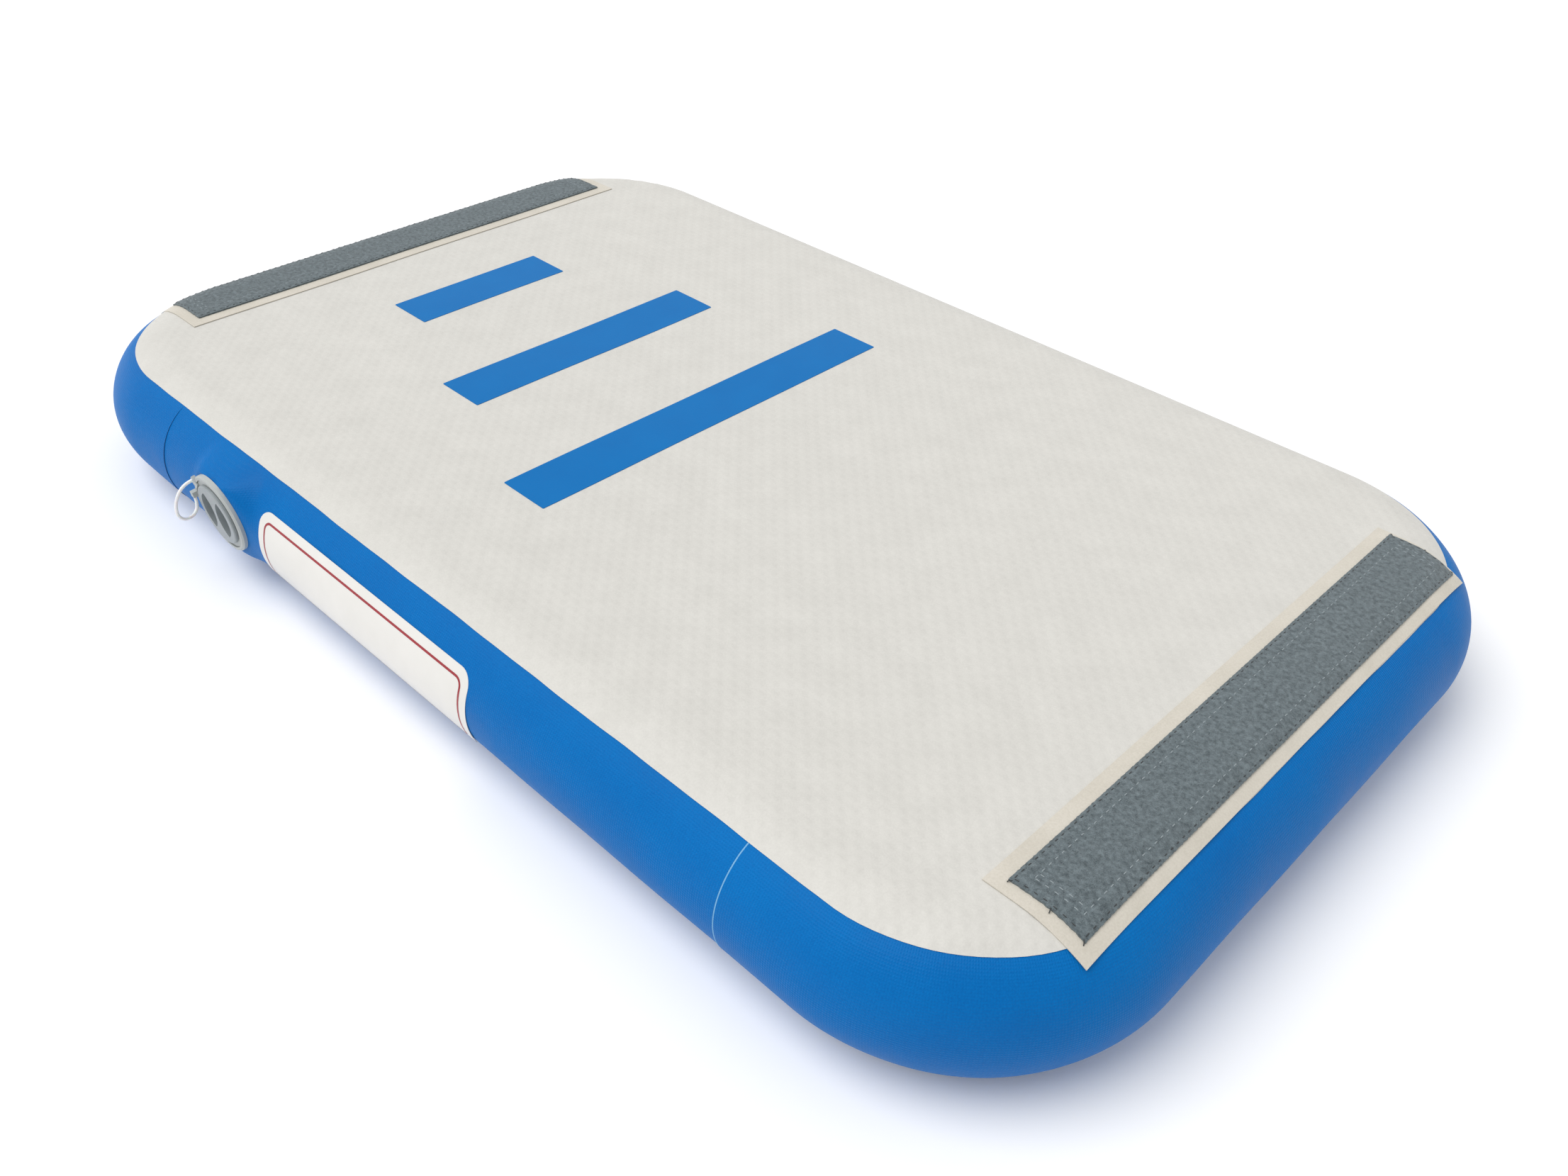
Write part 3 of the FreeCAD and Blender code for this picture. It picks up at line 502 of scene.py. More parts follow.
# %% Rim as a function of the place along it and the angle over it
STRAIGHT_X = 2 * (HALF_X - FLAT_CORNER)
STRAIGHT_Y = 2 * (HALF_Y - FLAT_CORNER)
BEND = (FLAT_CORNER + RIM) * math.pi / 2
ROUND = 2 * (STRAIGHT_X + STRAIGHT_Y) + 4 * BEND


def on_outline(along):
    """Points and outward directions on the flat face's outline, from the middle of the valve side."""
    s = np.mod(np.asarray(along, float) + STRAIGHT_X / 2, ROUND)
    x, y, nx, ny = (np.zeros_like(s) for _ in range(4))
    start = 0.0
    for side in range(4):
        length = STRAIGHT_X if side % 2 == 0 else STRAIGHT_Y
        turn = side * math.pi / 2
        ca, sa = math.cos(turn), math.sin(turn)
        half_run = length / 2
        half_gap = (STRAIGHT_Y if side % 2 == 0 else STRAIGHT_X) / 2 + FLAT_CORNER
        pick = (s >= start) & (s < start + length)
        lx, ly = s - start - half_run, np.full_like(s, -half_gap)
        x, y = np.where(pick, lx * ca - ly * sa, x), np.where(pick, lx * sa + ly * ca, y)
        nx, ny = np.where(pick, sa, nx), np.where(pick, -ca, ny)
        start += length
        pick = (s >= start) & (s < start + BEND)
        angle = (s - start) / BEND * math.pi / 2 - math.pi / 2
        lx = half_run + FLAT_CORNER * np.cos(angle)
        ly = -(half_gap - FLAT_CORNER) + FLAT_CORNER * np.sin(angle)
        x, y = np.where(pick, lx * ca - ly * sa, x), np.where(pick, lx * sa + ly * ca, y)
        nx = np.where(pick, np.cos(angle + turn), nx)
        ny = np.where(pick, np.sin(angle + turn), ny)
        start += BEND
    return x, y, nx, ny


def on_rim(along, angle, lift):
    """Points on the rim at a place along it and an angle over it, 0 at the top and pi at the bottom."""
    x, y, nx, ny = on_outline(along)
    radius = RIM + lift
    out = radius * np.sin(angle)
    z = np.where(angle < math.pi / 2, THICK - RIM, RIM) + radius * np.cos(angle)
    return np.stack([x + nx * out, y + ny * out, z], -1)


SEAT = np.array([-206, -301.2, 56]) * MM
TILT = math.radians(6)
OUTWARD = np.array([0, -math.cos(TILT), -math.sin(TILT)])
VALVE_UP = np.array([0, -math.sin(TILT), math.cos(TILT)])


def draw_out(points, angle, lift):
    """Pulls the points near the valve out to its flat seat, and leaves the glued seams where they are."""
    away = points - SEAT
    side, up, depth = away[..., 0], away @ VALVE_UP, away @ OUTWARD
    reach = np.hypot(side, up)
    t = np.clip((reach - 31 * MM) / (16 * MM), 0, 1)
    from_seam = np.clip((np.minimum(angle, math.pi - angle) - math.radians(30)) / math.radians(13), 0, 1)
    hold = (1 - t * t * (3 - 2 * t)) * from_seam * (depth > -30 * MM)
    return points + (hold * (lift - depth))[..., None] * OUTWARD


# %% Panels
LAP = 9 * MM
UNDER_SEAM, ANGLE_STEPS = 27.5, 46
CUT = 0.8 * MM


def make_panel(name, first, last, lap, node):
    """One side panel from first to last along the rim, its ends lapped over its neighbours by lap."""
    along = np.r_[first - lap, np.arange(first - lap + CUT, last + lap - CUT, 4 * MM), last + lap]
    angles = np.radians(np.linspace(UNDER_SEAM, 180 - UNDER_SEAM, ANGLE_STEPS))
    s, a = np.meshgrid(along, angles, indexing="ij")
    # Slow pulls along the rim, and short ones across it near the lapped ends.
    pull = 0.18 * MM * np.sin(s / 0.043) * np.sin(a * 2) + 0.12 * MM * np.sin(s / 0.017 + 3 * a)
    # The seam's glue holds the panel down under the sheets' edges.
    free = np.clip((np.degrees(a) - 30) / 8, 0, 1) * np.clip((150 - np.degrees(a)) / 8, 0, 1)
    lift = pull * free
    layers = []
    for drop in (0.0, SKIN):
        points = on_rim(s, a, lift + (0.5 * MM * free if lap else 0) - drop)
        layers.append(draw_out(points, a, -drop))
    rows, columns = s.shape
    verts = np.vstack([layer.reshape(-1, 3) for layer in layers])
    count = rows * columns
    faces = []
    for i in range(rows - 1):
        for j in range(columns - 1):
            k = i * columns + j
            faces.append([k, k + 1, k + columns + 1, k + columns])
            faces.append([count + k, count + k + columns, count + k + columns + 1, count + k + 1])
    ring = [i * columns for i in range(rows)]
    ring += [(rows - 1) * columns + j for j in range(1, columns)]
    ring += [i * columns + columns - 1 for i in range(rows - 2, -1, -1)]
    ring += [j for j in range(columns - 2, 0, -1)]
    faces += [[a0, b0, count + b0, count + a0] for a0, b0 in zip(ring, ring[1:] + ring[:1])]
    # The hole for the valve's sleeve.
    centre = np.array([np.mean(verts[f], 0) for f in faces]) - SEAT
    open_to = 25.5 * MM
    keep = (np.hypot(centre[:, 0], centre @ VALVE_UP) > open_to) | (np.abs(centre @ OUTWARD) > 20 * MM)
    faces = [f for f, stays in zip(faces, keep) if stays]
    thing = make_object(name, verts, faces, [rim_fabric, shade_painted_edge, highlight_painted_edge])
    mesh = thing.data
    # Its cut edges are painted dark as shade, and the first lapped end gets a painted highlight along its
    # lip.
    for face in mesh.polygons:
        crosses = len({v // count for v in face.vertices}) == 2
        painted_highlight_lip = lap and max(face.vertices) < 2 * columns
        face.material_index = 1 if crosses else 2 if painted_highlight_lip else 0
    mesh.shade_smooth()
    uv = mesh.uv_layers.new(name="pattern")
    flat = np.stack([s, a * RIM], -1).reshape(-1, 2)
    loops = np.zeros(len(mesh.loops), int)
    mesh.loops.foreach_get("vertex_index", loops)
    uv.data.foreach_set("uv", np.vstack([flat, flat])[loops].ravel())
    tidy = bmesh.new()
    tidy.from_mesh(mesh)
    bmesh.ops.delete(tidy, geom=[v for v in tidy.verts if not v.link_faces], context="VERTS")
    for edge in tidy.edges:
        if len(edge.link_faces) == 2 and edge.calc_face_angle() > math.radians(40):
            edge.smooth = False
    tidy.to_mesh(mesh)
    tidy.free()
    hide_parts(node)
    print(name, len(mesh.vertices), "points")
    return thing


JOINT = 305 * MM
make_panel("valve_side_cover", -JOINT, JOINT, 0, "valve_side_panel")
make_panel("near_end_cover", JOINT, ROUND / 2 - JOINT, LAP, "near_end_panel")
make_panel("plain_side_cover", ROUND / 2 - JOINT, ROUND / 2 + JOINT, 0, "plain_side_panel")
make_panel("far_end_cover", ROUND / 2 + JOINT, ROUND - JOINT, LAP, "far_end_panel")

# %% [markdown]
# ## Stripes
# Three blue stripes of growing length are cut from PVC film and glued across the top. They lie on the
# embossed sheet, so they take its ripple, and their cut edge shows as a fine light line. A decal painted in
# the sheet's material would miss that edge.

# %% Stripe film: PVC, cast, satin
stripe_film, shader = start_material("blue_pvc_film", Roughness=0.45, IOR=1.53, Specular_IOR_Level=0.1)
place = add(stripe_film, "ShaderNodeTexCoord")
cloud = add(stripe_film, "ShaderNodeTexNoise", {
    "Vector": place.outputs["Object"], "Scale": 1 / (25 * MM), "Detail": 5.0,
})
tint = add(stripe_film, "ShaderNodeMix", {
    0: cloud.outputs[0], 6: linear("#0068AE"), 7: linear("#0070B6"),
}, data_type="RGBA")
link(stripe_film, tint.outputs[2], shader.inputs["Base Color"])
speck = add(stripe_film, "ShaderNodeTexNoise", {
    "Vector": place.outputs["Object"], "Scale": 1 / (1.2 * MM), "Detail": 2.0,
})
grain = add(stripe_film, "ShaderNodeBump", {
    "Height": speck.outputs[0], "Strength": 0.25, "Distance": 0.2 * MM,
})
link(stripe_film, grain.outputs[0], shader.inputs["Normal"])

# %% Stripes
STRIPE_FILM, STRIPE_CORNER = 0.4 * MM, 0.8 * MM
STRIPES = {
    "stripe_short": (-320.4, -278.2, -77.5, 64.8),
    "stripe_mid": (-184.1, -140.8, -124.8, 111.9),
    "stripe_long": (-44.4, -1.6, -172.4, 159.6),
}
for node, (x0, x1, y0, y1) in STRIPES.items():
    corners = round_corners(x0 * MM, x1 * MM, y0 * MM, y1 * MM, STRIPE_CORNER, 3)
    piece = lay_sheet(f"{node}_film", divide(corners, 5 * MM), 5 * MM, lay_on_top, STRIPE_FILM, stripe_film)
    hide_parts(node)
    print(piece.name, round(y1 - y0), "mm long")

# %% [markdown]
# ## Carrier patches
# Each loop strip is sewn to a thin PVC patch, and the patch is glued to the mat. Past the strip the near
# patch runs on over the seam and ends in a free edge: its middle lies on the rim, and its corners stand off
# a little where the rim curves away under them. The stand-off is a smooth function of the place on the
# patch, which a cloth simulation would only find again more slowly.

# %% Patch sheet: PVC, calendered, aged to a warm white
patch_pvc, shader = start_material("warm_white_pvc_sheet", Roughness=0.5, IOR=1.53)
place = add(patch_pvc, "ShaderNodeTexCoord")
cloud = add(patch_pvc, "ShaderNodeTexNoise", {
    "Vector": place.outputs["Object"], "Scale": 1 / (30 * MM), "Detail": 6.0,
})
speck = add(patch_pvc, "ShaderNodeTexNoise", {
    "Vector": place.outputs["Object"], "Scale": 1 / (1.1 * MM), "Detail": 2.0,
})
mottle = add(patch_pvc, "ShaderNodeMath", {0: cloud.outputs[0], 1: speck.outputs[0]}, operation="ADD")
share = add(patch_pvc, "ShaderNodeMapRange", {0: mottle.outputs[0], 1: 0.7, 2: 1.3, 3: 0.0, 4: 1.0})
tint = add(patch_pvc, "ShaderNodeMix", {
    0: share.outputs[0], 6: linear("#C4BEB1"), 7: linear("#D2CCC0"),
}, data_type="RGBA")
link(patch_pvc, tint.outputs[2], shader.inputs["Base Color"])
grain = add(patch_pvc, "ShaderNodeBump", {
    "Height": mottle.outputs[0], "Strength": 0.3, "Distance": 0.3 * MM,
})
link(patch_pvc, grain.outputs[0], shader.inputs["Normal"])

# %% Patches
PATCH = 0.7 * MM
NEAR_PATCH = (397.0, 460.5, -215.0, 216.0)
FAR_PATCH = (-461.0, -392.5, -216.0, 216.0)


def near_stand_off(x, y):
    """How far the near patch stands off the mat: free at its outer edge, most at its two outer corners."""
    outward = np.clip((x - 440 * MM) / (23 * MM), 0, 1)
    left = np.clip((-y - 170 * MM) / (46 * MM), 0, 1)
    right = np.clip((y - 185 * MM) / (33 * MM), 0, 1)
    wave = 0.25 * MM * (1 + np.sin(y / 0.024)) * outward
    return outward ** 2 * (2.0 * MM * left ** 2 + 2.2 * MM * right ** 2) + wave + 0.15 * MM


def far_stand_off(x, y):
    """The far patch lies closer."""
    outward = np.clip((-x - 440 * MM) / (21 * MM), 0, 1)
    return 0.2 * MM * (1 + np.sin(y / 0.03)) * outward + 0.15 * MM


PATCHES = {"near": (NEAR_PATCH, near_stand_off), "far": (FAR_PATCH, far_stand_off)}
for end, ((x0, x1, y0, y1), stand_off) in PATCHES.items():
    corners = [(x0 * MM, y0 * MM), (x1 * MM, y0 * MM), (x1 * MM, y1 * MM), (x0 * MM, y1 * MM)]
    if end == "near":
        # The cut isn't quite square: its outer edge runs a little askew, and its left corner is drawn out to
        # a point.
        corners[1] = (461.5 * MM, -215.0 * MM)
    piece = lay_sheet(
        f"{end}_carrier", divide(corners, 3 * MM), 4 * MM, lay_on_top, PATCH, patch_pvc, edge_lift=stand_off,
    )
    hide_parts(f"{end}_patch")
    print(piece.name, len(piece.data.vertices), "points")

# %% [markdown]
# ## Loop strips
# The strips are the soft half of a hook-and-loop tape: a woven nylon ground whose pile was brushed into
# loose loops. Seen from a metre off that is a grey felt with dark and light flecks, and its edges are
# slightly ragged. A noise at the size of the loops moves the surface, and a finer one colours it.

# %% Loop pile: nylon, woven and brushed
loop_pile, shader = start_material(
    "grey_nylon_loop_pile", Roughness=0.92, Sheen_Weight=0.2, Sheen_Roughness=0.6,
)
place = add(loop_pile, "ShaderNodeTexCoord")
# Loops are 0.6 mm wide in life and drawn at 1.1 mm so that they show.
loops_noise = add(loop_pile, "ShaderNodeTexNoise", {
    "Vector": place.outputs["Object"], "Scale": 1 / (1.1 * MM), "Detail": 2.0, "Roughness": 0.75,
    "Distortion": 1.2,
})
tufts = add(loop_pile, "ShaderNodeTexNoise", {
    "Vector": place.outputs["Object"], "Scale": 1 / (3 * MM), "Detail": 3.0,
})
mottle = add(loop_pile, "ShaderNodeMath", {
    0: loops_noise.outputs[0], 1: tufts.outputs[0],
}, operation="ADD")
share = add(loop_pile, "ShaderNodeMapRange", {0: mottle.outputs[0], 1: 0.7, 2: 1.3, 3: 0.0, 4: 1.0})
tint = add(loop_pile, "ShaderNodeMix", {
    0: share.outputs[0], 6: linear("#38454A"), 7: linear("#717E83"),
}, data_type="RGBA")
link(loop_pile, tint.outputs[2], shader.inputs["Base Color"])
fuzz = add(loop_pile, "ShaderNodeBump", {
    "Height": loops_noise.outputs[0], "Strength": 0.8, "Distance": 0.8 * MM,
})
link(loop_pile, fuzz.outputs[0], shader.inputs["Normal"])

# %% Strips
PILE = 1.7 * MM
STRIPS = {"near": (406.5, 453.0, -206.5, 212.5), "far": (-449.5, -402.7, -206.5, 206.5)}


def strip_form(end):
    """A strip lies on its patch. It is pressed down along its sewn edges and stands up between them."""
    x0, x1, y0, y1 = (v * MM for v in STRIPS[end])

    def rise(x, y):
        edge = np.minimum(np.minimum(x - x0, x1 - x), np.minimum(y - y0, y1 - y))
        across, along = x / 0.0021 + 2 * np.sin(y / 0.0037), y / 0.0019 + np.sin(x / 0.0031)
        fluff = 0.12 * MM * np.sin(across) * np.sin(along)
        return 0.5 * MM * (np.clip(edge / (5 * MM), 0, 1) ** 0.5 - 1) + fluff

    return rise


def ragged(corners, amount):
    """An outline whose points stray a little, as a cut edge of pile does."""
    spots = divide(corners, 1.5 * MM)
    k = np.arange(len(spots))
    stray = amount * np.stack([np.sin(k * 2.4) * np.sin(k * 0.37), np.sin(k * 1.9 + 1) * np.sin(k * 0.53)], 1)
    return spots + stray


for end, (x0, x1, y0, y1) in STRIPS.items():
    corners = [(x0 * MM, y0 * MM), (x1 * MM, y0 * MM), (x1 * MM, y1 * MM), (x0 * MM, y1 * MM)]
    piece = lay_sheet(
        f"{end}_loop_tape", ragged(corners, 0.25 * MM), 2.6 * MM, lay_on_top, PILE, loop_pile,
        under=PATCH + 0.1 * MM, edge_lift=strip_form(end),
    )
    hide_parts(f"{end}_loop_strip")
    print(piece.name, len(piece.data.vertices), "points")

# %% [markdown]
# ## Stitches
# Two rows of lockstitch run round each strip: one along its very edge and one 9 mm further in. Each stitch is
# a short thread that dips into the pile at both ends. They are modelled one by one, because a dashed line in
# the material would lie flat. A few cut threads stick out at the near strip's ends.

# %% Sewing thread: polyester, twisted
def thread(name, colour):
    """Twisted polyester thread."""
    material, shader = start_material(name, Roughness=0.6, Sheen_Weight=0.2)
    place = add(material, "ShaderNodeTexCoord")
    twist = add(material, "ShaderNodeTexNoise", {
        "Vector": place.outputs["Object"], "Scale": 1 / (0.8 * MM), "Detail": 2.0,
    })
    tint = add(material, "ShaderNodeMix", {
        0: twist.outputs[0], 6: linear(colour[0]), 7: linear(colour[1]),
    }, data_type="RGBA")
    link(material, tint.outputs[2], shader.inputs["Base Color"])
    ply = add(material, "ShaderNodeBump", {
        "Height": twist.outputs[0], "Strength": 0.5, "Distance": 0.15 * MM,
    })
    link(material, ply.outputs[0], shader.inputs["Normal"])
    return material


light_thread = thread("grey_polyester_thread", ("#7D888C", "#98A1A5"))
dark_thread = thread("dark_polyester_thread", ("#15191B", "#2A3033"))

# %% Stitches
THREAD_RADIUS = 0.32 * MM
STITCH, STITCH_GAP = 3.4 * MM, 2.2 * MM
STITCH_STEPS, THREAD_SIDES = 4, 6


def sew(name, runs, rise, material, gap=STITCH_GAP):
    """Stitches along runs of the flat pattern, as one mesh of short bent threads."""
    verts, faces = [], []
    for (ax, ay), (bx, by) in runs:
        length = math.dist((ax, ay), (bx, by))
        for k in range(int(length // (STITCH + gap))):
            first = k * (STITCH + gap) / length
            share = first + np.linspace(0, STITCH / length, STITCH_STEPS + 1)
            arch = np.sin(np.linspace(0, math.pi, STITCH_STEPS + 1)) ** 0.5
            dip = arch * 2 * THREAD_RADIUS - 1.6 * THREAD_RADIUS
            x, y = ax + (bx - ax) * share, ay + (by - ay) * share
            line = lay_on_top(x, y, PATCH + PILE + rise(x, y) + dip)
            above = lay_on_top(x, y, PATCH + PILE + rise(x, y) + dip + MM) - line
            ahead = np.gradient(line, axis=0)
            sideways = np.cross(ahead, above)
            sideways /= np.linalg.norm(sideways, axis=1)[:, None]
            above /= np.linalg.norm(above, axis=1)[:, None]
            base = len(verts)
            for spot, up, across in zip(line, above, sideways):
                for corner in range(THREAD_SIDES):
                    angle = corner * math.tau / THREAD_SIDES
                    verts.append(spot + THREAD_RADIUS * (math.cos(angle) * up + math.sin(angle) * across))
            for step in range(STITCH_STEPS):
                for corner in range(THREAD_SIDES):
                    ring = base + step * THREAD_SIDES
                    a, b = ring + corner, ring + (corner + 1) % THREAD_SIDES
                    faces.append([a, a + THREAD_SIDES, b + THREAD_SIDES, b])
            faces.append([base + c for c in range(THREAD_SIDES)])
            faces.append([base + STITCH_STEPS * THREAD_SIDES + c for c in range(THREAD_SIDES - 1, -1, -1)])
    thing = make_object(name, verts, faces, [material])
    thing.data.shade_smooth()
    return thing


FRAYS = [
    (409, -205.5, 405, -210.0), (431, -205.5, 433, -211.2), (451, -205.5, 455, -210.0),
    (409, 211.5, 405, 216.0), (430, 211.0, 431, 217.0), (450, 211.5, 454, 216.0),
]
frayed = [((ax * MM, ay * MM), (bx * MM, by * MM)) for ax, ay, bx, by in FRAYS]
loose = sew("near_frayed_threads", frayed, strip_form("near"), dark_thread)
for end, (x0, x1, y0, y1) in STRIPS.items():
    for row, inset, material in (("edge", 1.9, dark_thread), ("inner", 9.0, light_thread)):
        a, b, c, d = (x0 + inset) * MM, (x1 - inset) * MM, (y0 + inset) * MM, (y1 - inset) * MM
        runs = [((a, c), (a, d)), ((b, c), (b, d)), ((a, c), (b, c)), ((a, d), (b, d))]
        if row == "inner":
            runs += [((a, c + 4 * MM), (b, c + 4 * MM)), ((a, d - 4 * MM), (b, d - 4 * MM))]
        piece = sew(f"{end}_{row}_stitches", runs, strip_form(end), material)
        if row == "edge":
            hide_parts(f"{end}_stitching")
        print(piece.name, len(runs), "runs")

# %% [markdown]
# ## Blank panel
# The white panel beside the valve is a printed film with a thin dark red frame line, which is left
# otherwise blank here, to write on. It is cut flat with round corners, and its height is measured along the
# curve of the rim, so its pattern keeps its lengths. The line is a second, thinner film on top, so that its
# edges stay crisp.

# %% Panel film: plain vinyl, glossy
def vinyl(name, colours):
    """Smooth vinyl film with a faint unevenness."""
    material, shader = start_material(name, Roughness=0.3, IOR=1.5)
    place = add(material, "ShaderNodeTexCoord")
    cloud = add(material, "ShaderNodeTexNoise", {
        "Vector": place.outputs["Object"], "Scale": 1 / (18 * MM), "Detail": 4.0,
    })
    tint = add(material, "ShaderNodeMix", {
        0: cloud.outputs[0], 6: linear(colours[0]), 7: linear(colours[1]),
    }, data_type="RGBA")
    link(material, tint.outputs[2], shader.inputs["Base Color"])
    bubbles = add(material, "ShaderNodeBump", {
        "Height": cloud.outputs[0], "Strength": 0.2, "Distance": 0.4 * MM,
    })
    link(material, bubbles.outputs[0], shader.inputs["Normal"])
    return material


white_vinyl = vinyl("white_vinyl_film", ("#DDDBD6", "#E6E4E0"))
red_vinyl = vinyl("dark_red_vinyl_ink", ("#8E0A1E", "#A01024"))


def lay_on_side(x, y, lift):
    """Places points of a flat pattern on the valve side: x along the mat, y down over the rim."""
    return on_rim(x, y / RIM, lift)


# %% Panel
LABEL = (-158 * MM, 82 * MM, RIM * math.radians(54.5), RIM * math.radians(125))
FILM, ABOVE_RIM, INK = 0.3 * MM, 0.25 * MM, 0.06 * MM
panel = lay_sheet(
    "blank_panel", divide(round_corners(*LABEL, 11 * MM), 3 * MM), 4 * MM, lay_on_side, FILM, white_vinyl,
    under=ABOVE_RIM, flip=True,
)
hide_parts("side_label")
INSET, LINE = 6.5 * MM, 1.7 * MM
x0, x1, y0, y1 = LABEL
outer = divide(round_corners(x0 + INSET, x1 - INSET, y0 + INSET, y1 - INSET, 6.5 * MM), 3 * MM)
count = len(outer)
# The line's inner edge has a point for each point of its outer edge, moved straight inwards.
ahead = np.roll(outer, -1, 0) - np.roll(outer, 1, 0)
ahead /= np.linalg.norm(ahead, axis=1)[:, None]
inner = outer + LINE * np.stack([-ahead[:, 1], ahead[:, 0]], 1)
both = np.vstack([outer, inner])
verts = lay_on_side(both[:, 0], both[:, 1], np.full(2 * count, ABOVE_RIM + FILM + INK))
faces = [[k, count + k, count + (k + 1) % count, (k + 1) % count] for k in range(count)]
frame_line = make_object("panel_frame_line", verts, faces, [red_vinyl])
frame_line.data.shade_smooth()
print("panel", round((x1 - x0) * 1000), "mm long")

# %% [markdown]
# ## Valve
# The valve's solids are right as they are, so they keep their shape and get their materials: grey moulded
# nylon with a fine spark-eroded grain, black silicone for the seals, white acetal for the stem, and bright
# steel for the spring. The tapes and yarns inside are hidden, and get plain textile finishes.

# %% Valve materials
def moulded(name, colours, roughness, grain):
    """Injection-moulded plastic with a fine tool grain and slight cloudiness."""
    material, shader = start_material(name, Roughness=roughness, IOR=1.53)
    place = add(material, "ShaderNodeTexCoord")
    cloud = add(material, "ShaderNodeTexNoise", {
        "Vector": place.outputs["Object"], "Scale": 1 / (9 * MM), "Detail": 4.0,
    })
    tint = add(material, "ShaderNodeMix", {
        0: cloud.outputs[0], 6: linear(colours[0]), 7: linear(colours[1]),
    }, data_type="RGBA")
    link(material, tint.outputs[2], shader.inputs["Base Color"])
    spark = add(material, "ShaderNodeTexNoise", {
        "Vector": place.outputs["Object"], "Scale": 1 / (0.5 * MM), "Detail": 2.0,
    })
    tool = add(material, "ShaderNodeBump", {
        "Height": spark.outputs[0], "Strength": grain, "Distance": 0.1 * MM,
    })
    link(material, tool.outputs[0], shader.inputs["Normal"])
    return material


def woven(name, colours):
    """Plain textile for the hidden tapes and yarns."""
    material, shader = start_material(name, Roughness=0.8, Sheen_Weight=0.2)
    place = add(material, "ShaderNodeTexCoord")
    grid = add(material, "ShaderNodeTexBrick", {
        "Vector": place.outputs["Object"], "Color1": linear(colours[0]), "Color2": linear(colours[1]),
        "Mortar": linear(colours[0]), "Scale": 1 / (2 * MM),
    })
    link(material, grid.outputs[0], shader.inputs["Base Color"])
    return material


flange_nylon = moulded("grey_moulded_nylon", ("#A6ABAA", "#B3B8B7"), 0.42, 0.25)
cap_nylon = moulded("dark_grey_moulded_nylon", ("#8C9396", "#989FA2"), 0.4, 0.25)
acetal = moulded("white_moulded_acetal", ("#DEDDD8", "#E8E7E2"), 0.35, 0.1)
silicone = moulded("black_silicone", ("#17181A", "#1F2022"), 0.5, 0.3)
tape_cloth = woven("blue_seam_tape", ("#1A62A8", "#2470BA"))
yarn_cloth = woven("white_polyester_yarn", ("#DCDCD6", "#EDEDE8"))

steel, shader = start_material("stainless_spring_wire", Metallic=1.0, Roughness=0.28)
place = add(steel, "ShaderNodeTexCoord")
drawn = add(steel, "ShaderNodeTexNoise", {
    "Vector": place.outputs["Object"], "Scale": 1 / (1.5 * MM), "Detail": 3.0,
})
tint = add(steel, "ShaderNodeMix", {
    0: drawn.outputs[0], 6: linear("#9A9C9E"), 7: linear("#B4B6B8"),
}, data_type="RGBA")
link(steel, tint.outputs[2], shader.inputs["Base Color"])

# %% [markdown]
# The spring behind the push button gets shorter when a pump presses the stem in. The coil is drawn again
# as a helix of round wire, with the solid's sizes, standing on the spider. The button moves 4.5 mm against
# a coil of 10 mm, which leaves 0.55 of its length.

# %% Valve spring
WIRE, COIL, TURNS = 0.45 * MM, 4.9 * MM, 4.5
COIL_FOOT, COIL_HEAD = -19.05 * MM, -9.95 * MM
STEPS, SIDES = 144, 10
verts = []
for step in range(STEPS + 1):
    turn = math.tau * TURNS * step / STEPS
    height = COIL_FOOT + (COIL_HEAD - COIL_FOOT) * step / STEPS
    outwards = np.array([1.0, 0, 0]) * math.cos(turn) + VALVE_UP * math.sin(turn)
    for corner in range(SIDES):
        angle = math.tau * corner / SIDES
        radius = COIL + WIRE * math.cos(angle)
        verts.append(SEAT + outwards * radius + OUTWARD * (height + WIRE * math.sin(angle)))
faces = []
for step in range(STEPS):
    for corner in range(SIDES):
        a, b = step * SIDES + corner, step * SIDES + (corner + 1) % SIDES
        faces.append([a, b, b + SIDES, a + SIDES])
faces += [list(range(SIDES - 1, -1, -1)), [STEPS * SIDES + c for c in range(SIDES)]]
coil = make_object("spring_wire_coil", verts, faces, [steel])
coil.data.shade_smooth()
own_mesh(coil)
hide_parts("valve_spring")
print("coil", round((COIL_HEAD - COIL_FOOT) * 1000, 1), "mm high")

# %% Dress the solids
FINISHES = {
    "valve_body": flange_nylon, "valve_nut": flange_nylon, "valve_cap": cap_nylon,
    "tether_ring": flange_nylon,
    "valve_stem": acetal, "stem_keeper": acetal, "sealing_disc": silicone, "valve_gasket": silicone,
    "cap_seal": silicone, "valve_patch": rim_fabric, "top_seam_tape": tape_cloth,
    "bottom_seam_tape": tape_cloth, "wall_joint_tapes": tape_cloth, "drop_yarns": yarn_cloth,
}
for node, material in FINISHES.items():
    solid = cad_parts[node]
    solid.data.materials.clear()
    solid.data.materials.append(material)
print(len(FINISHES), "solids dressed")

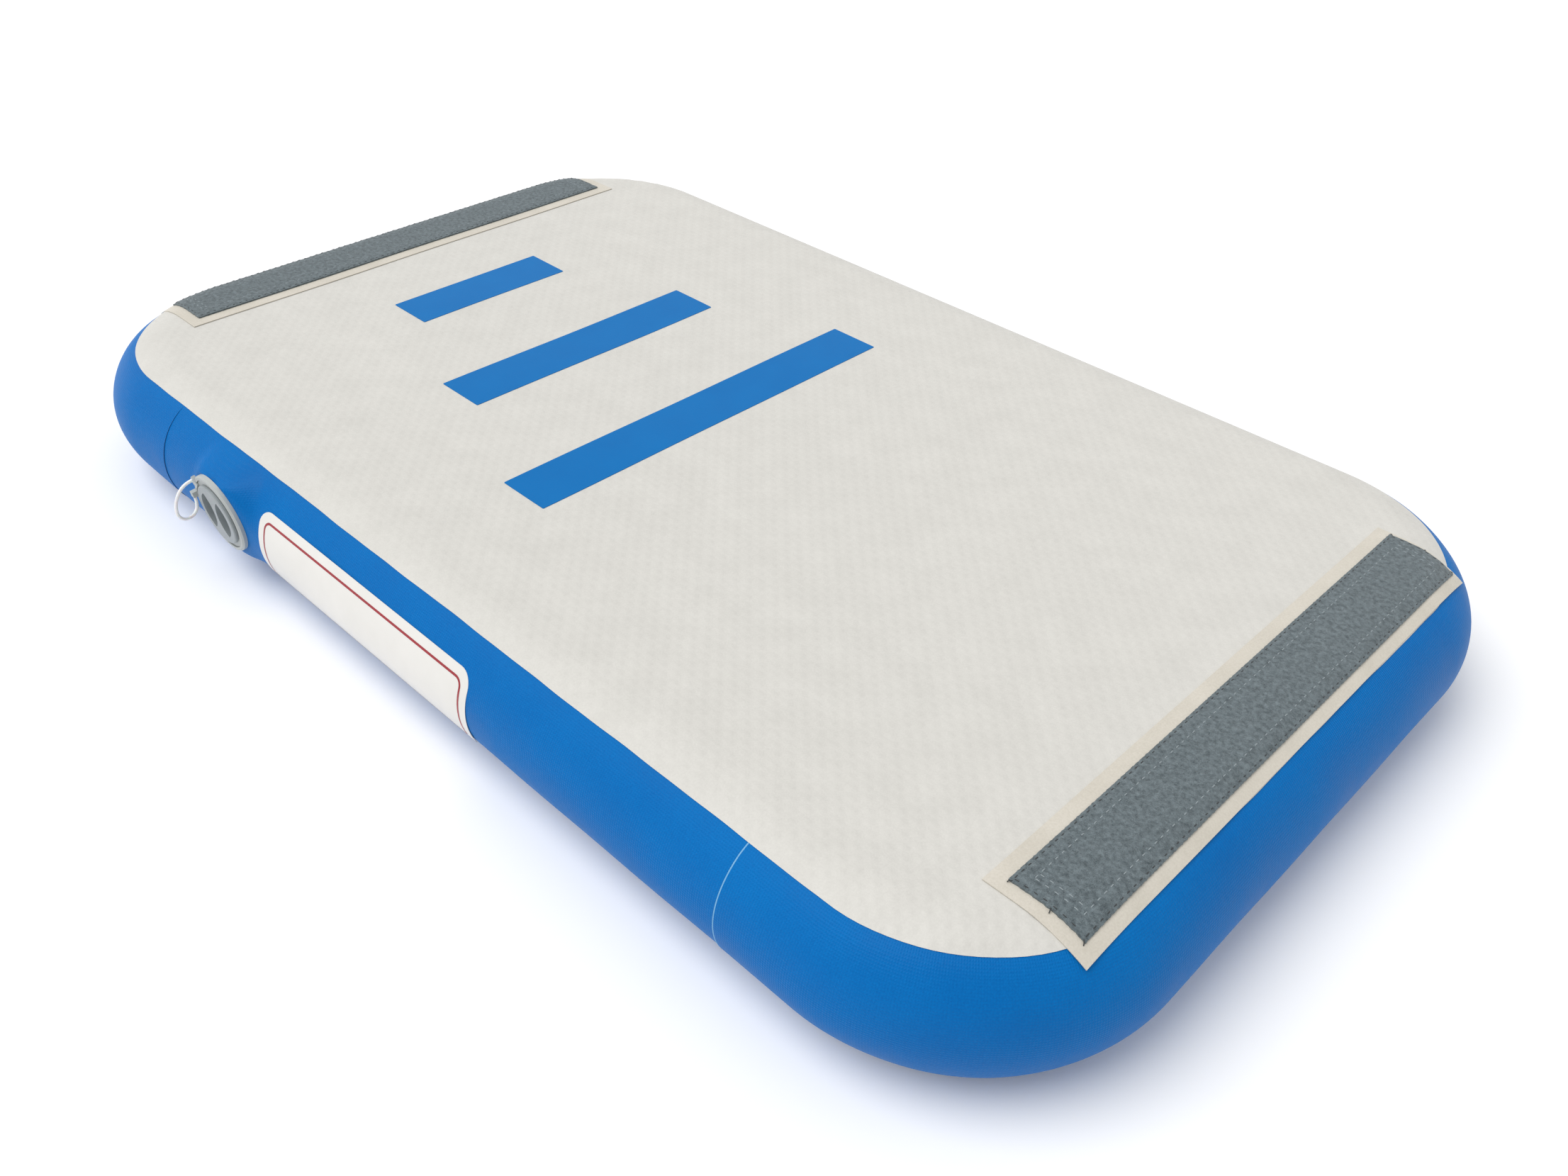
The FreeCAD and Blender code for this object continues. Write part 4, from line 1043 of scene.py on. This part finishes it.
# %% [markdown]
# ## Floor and light
# A pale floor takes the mat's shadow. The world is white to the camera and to reflections, and a plain soft
# grey to the object. Two far, wide lamps light the whole floor evenly: the key stands high on the valve side,
# so the top and that side are bright and the near end falls off.

# %% Floor
floor_mesh = bpy.data.meshes.new("studio_floor")
half = 6.0
FLOOR_TOP = -0.0005
corners = [(-half, -half), (half, -half), (half, half), (-half, half)]
floor_mesh.from_pydata([(x, y, FLOOR_TOP) for x, y in corners], [], [(0, 1, 2, 3)])
floor = bpy.data.objects.new("studio_floor", floor_mesh)
bpy.context.scene.collection.objects.link(floor)
floor_paper, shader = start_material("white_studio_paper", Roughness=0.9)
shader.inputs["Base Color"].default_value = (1.0, 1.0, 1.0, 1.0)
floor_mesh.materials.append(floor_paper)

# %% World and lamps
world = bpy.data.worlds.new("studio")
bpy.context.scene.world = world
world.use_nodes = True
sky = world.node_tree.nodes["Background"]
path = world.node_tree.nodes.new("ShaderNodeLightPath")
seen = path.outputs["Is Camera Ray"]
for ray in ("Is Glossy Ray", "Is Transmission Ray"):
    either = world.node_tree.nodes.new("ShaderNodeMath")
    either.operation = "MAXIMUM"
    world.node_tree.links.new(seen, either.inputs[0])
    world.node_tree.links.new(path.outputs[ray], either.inputs[1])
    seen = either.outputs[0]
strength = world.node_tree.nodes.new("ShaderNodeMapRange")
strength.inputs[3].default_value = 0.5
strength.inputs[4].default_value = 1.0
world.node_tree.links.new(seen, strength.inputs[0])
world.node_tree.links.new(strength.outputs[0], sky.inputs["Strength"])
sky.inputs["Color"].default_value = (1, 1, 1, 1)

LAMPS = {
    "soft_key": ((-0.5, -0.75, 1.6), 50, 1.9),
    "soft_fill": ((0.2, 0.5, 1.5), 80, 0.35),
}
for name, (direction, spread, power) in LAMPS.items():
    lamp = bpy.data.objects.new(name, bpy.data.lights.new(name, "SUN"))
    lamp.data.angle = math.radians(spread)
    lamp.data.energy = power
    lamp.location = direction
    lamp.rotation_euler = Vector(direction).to_track_quat("Z", "Y").to_euler()
    bpy.context.scene.collection.objects.link(lamp)
bpy.context.scene.view_settings.view_transform = "Standard"
print("lamps", sorted(LAMPS))
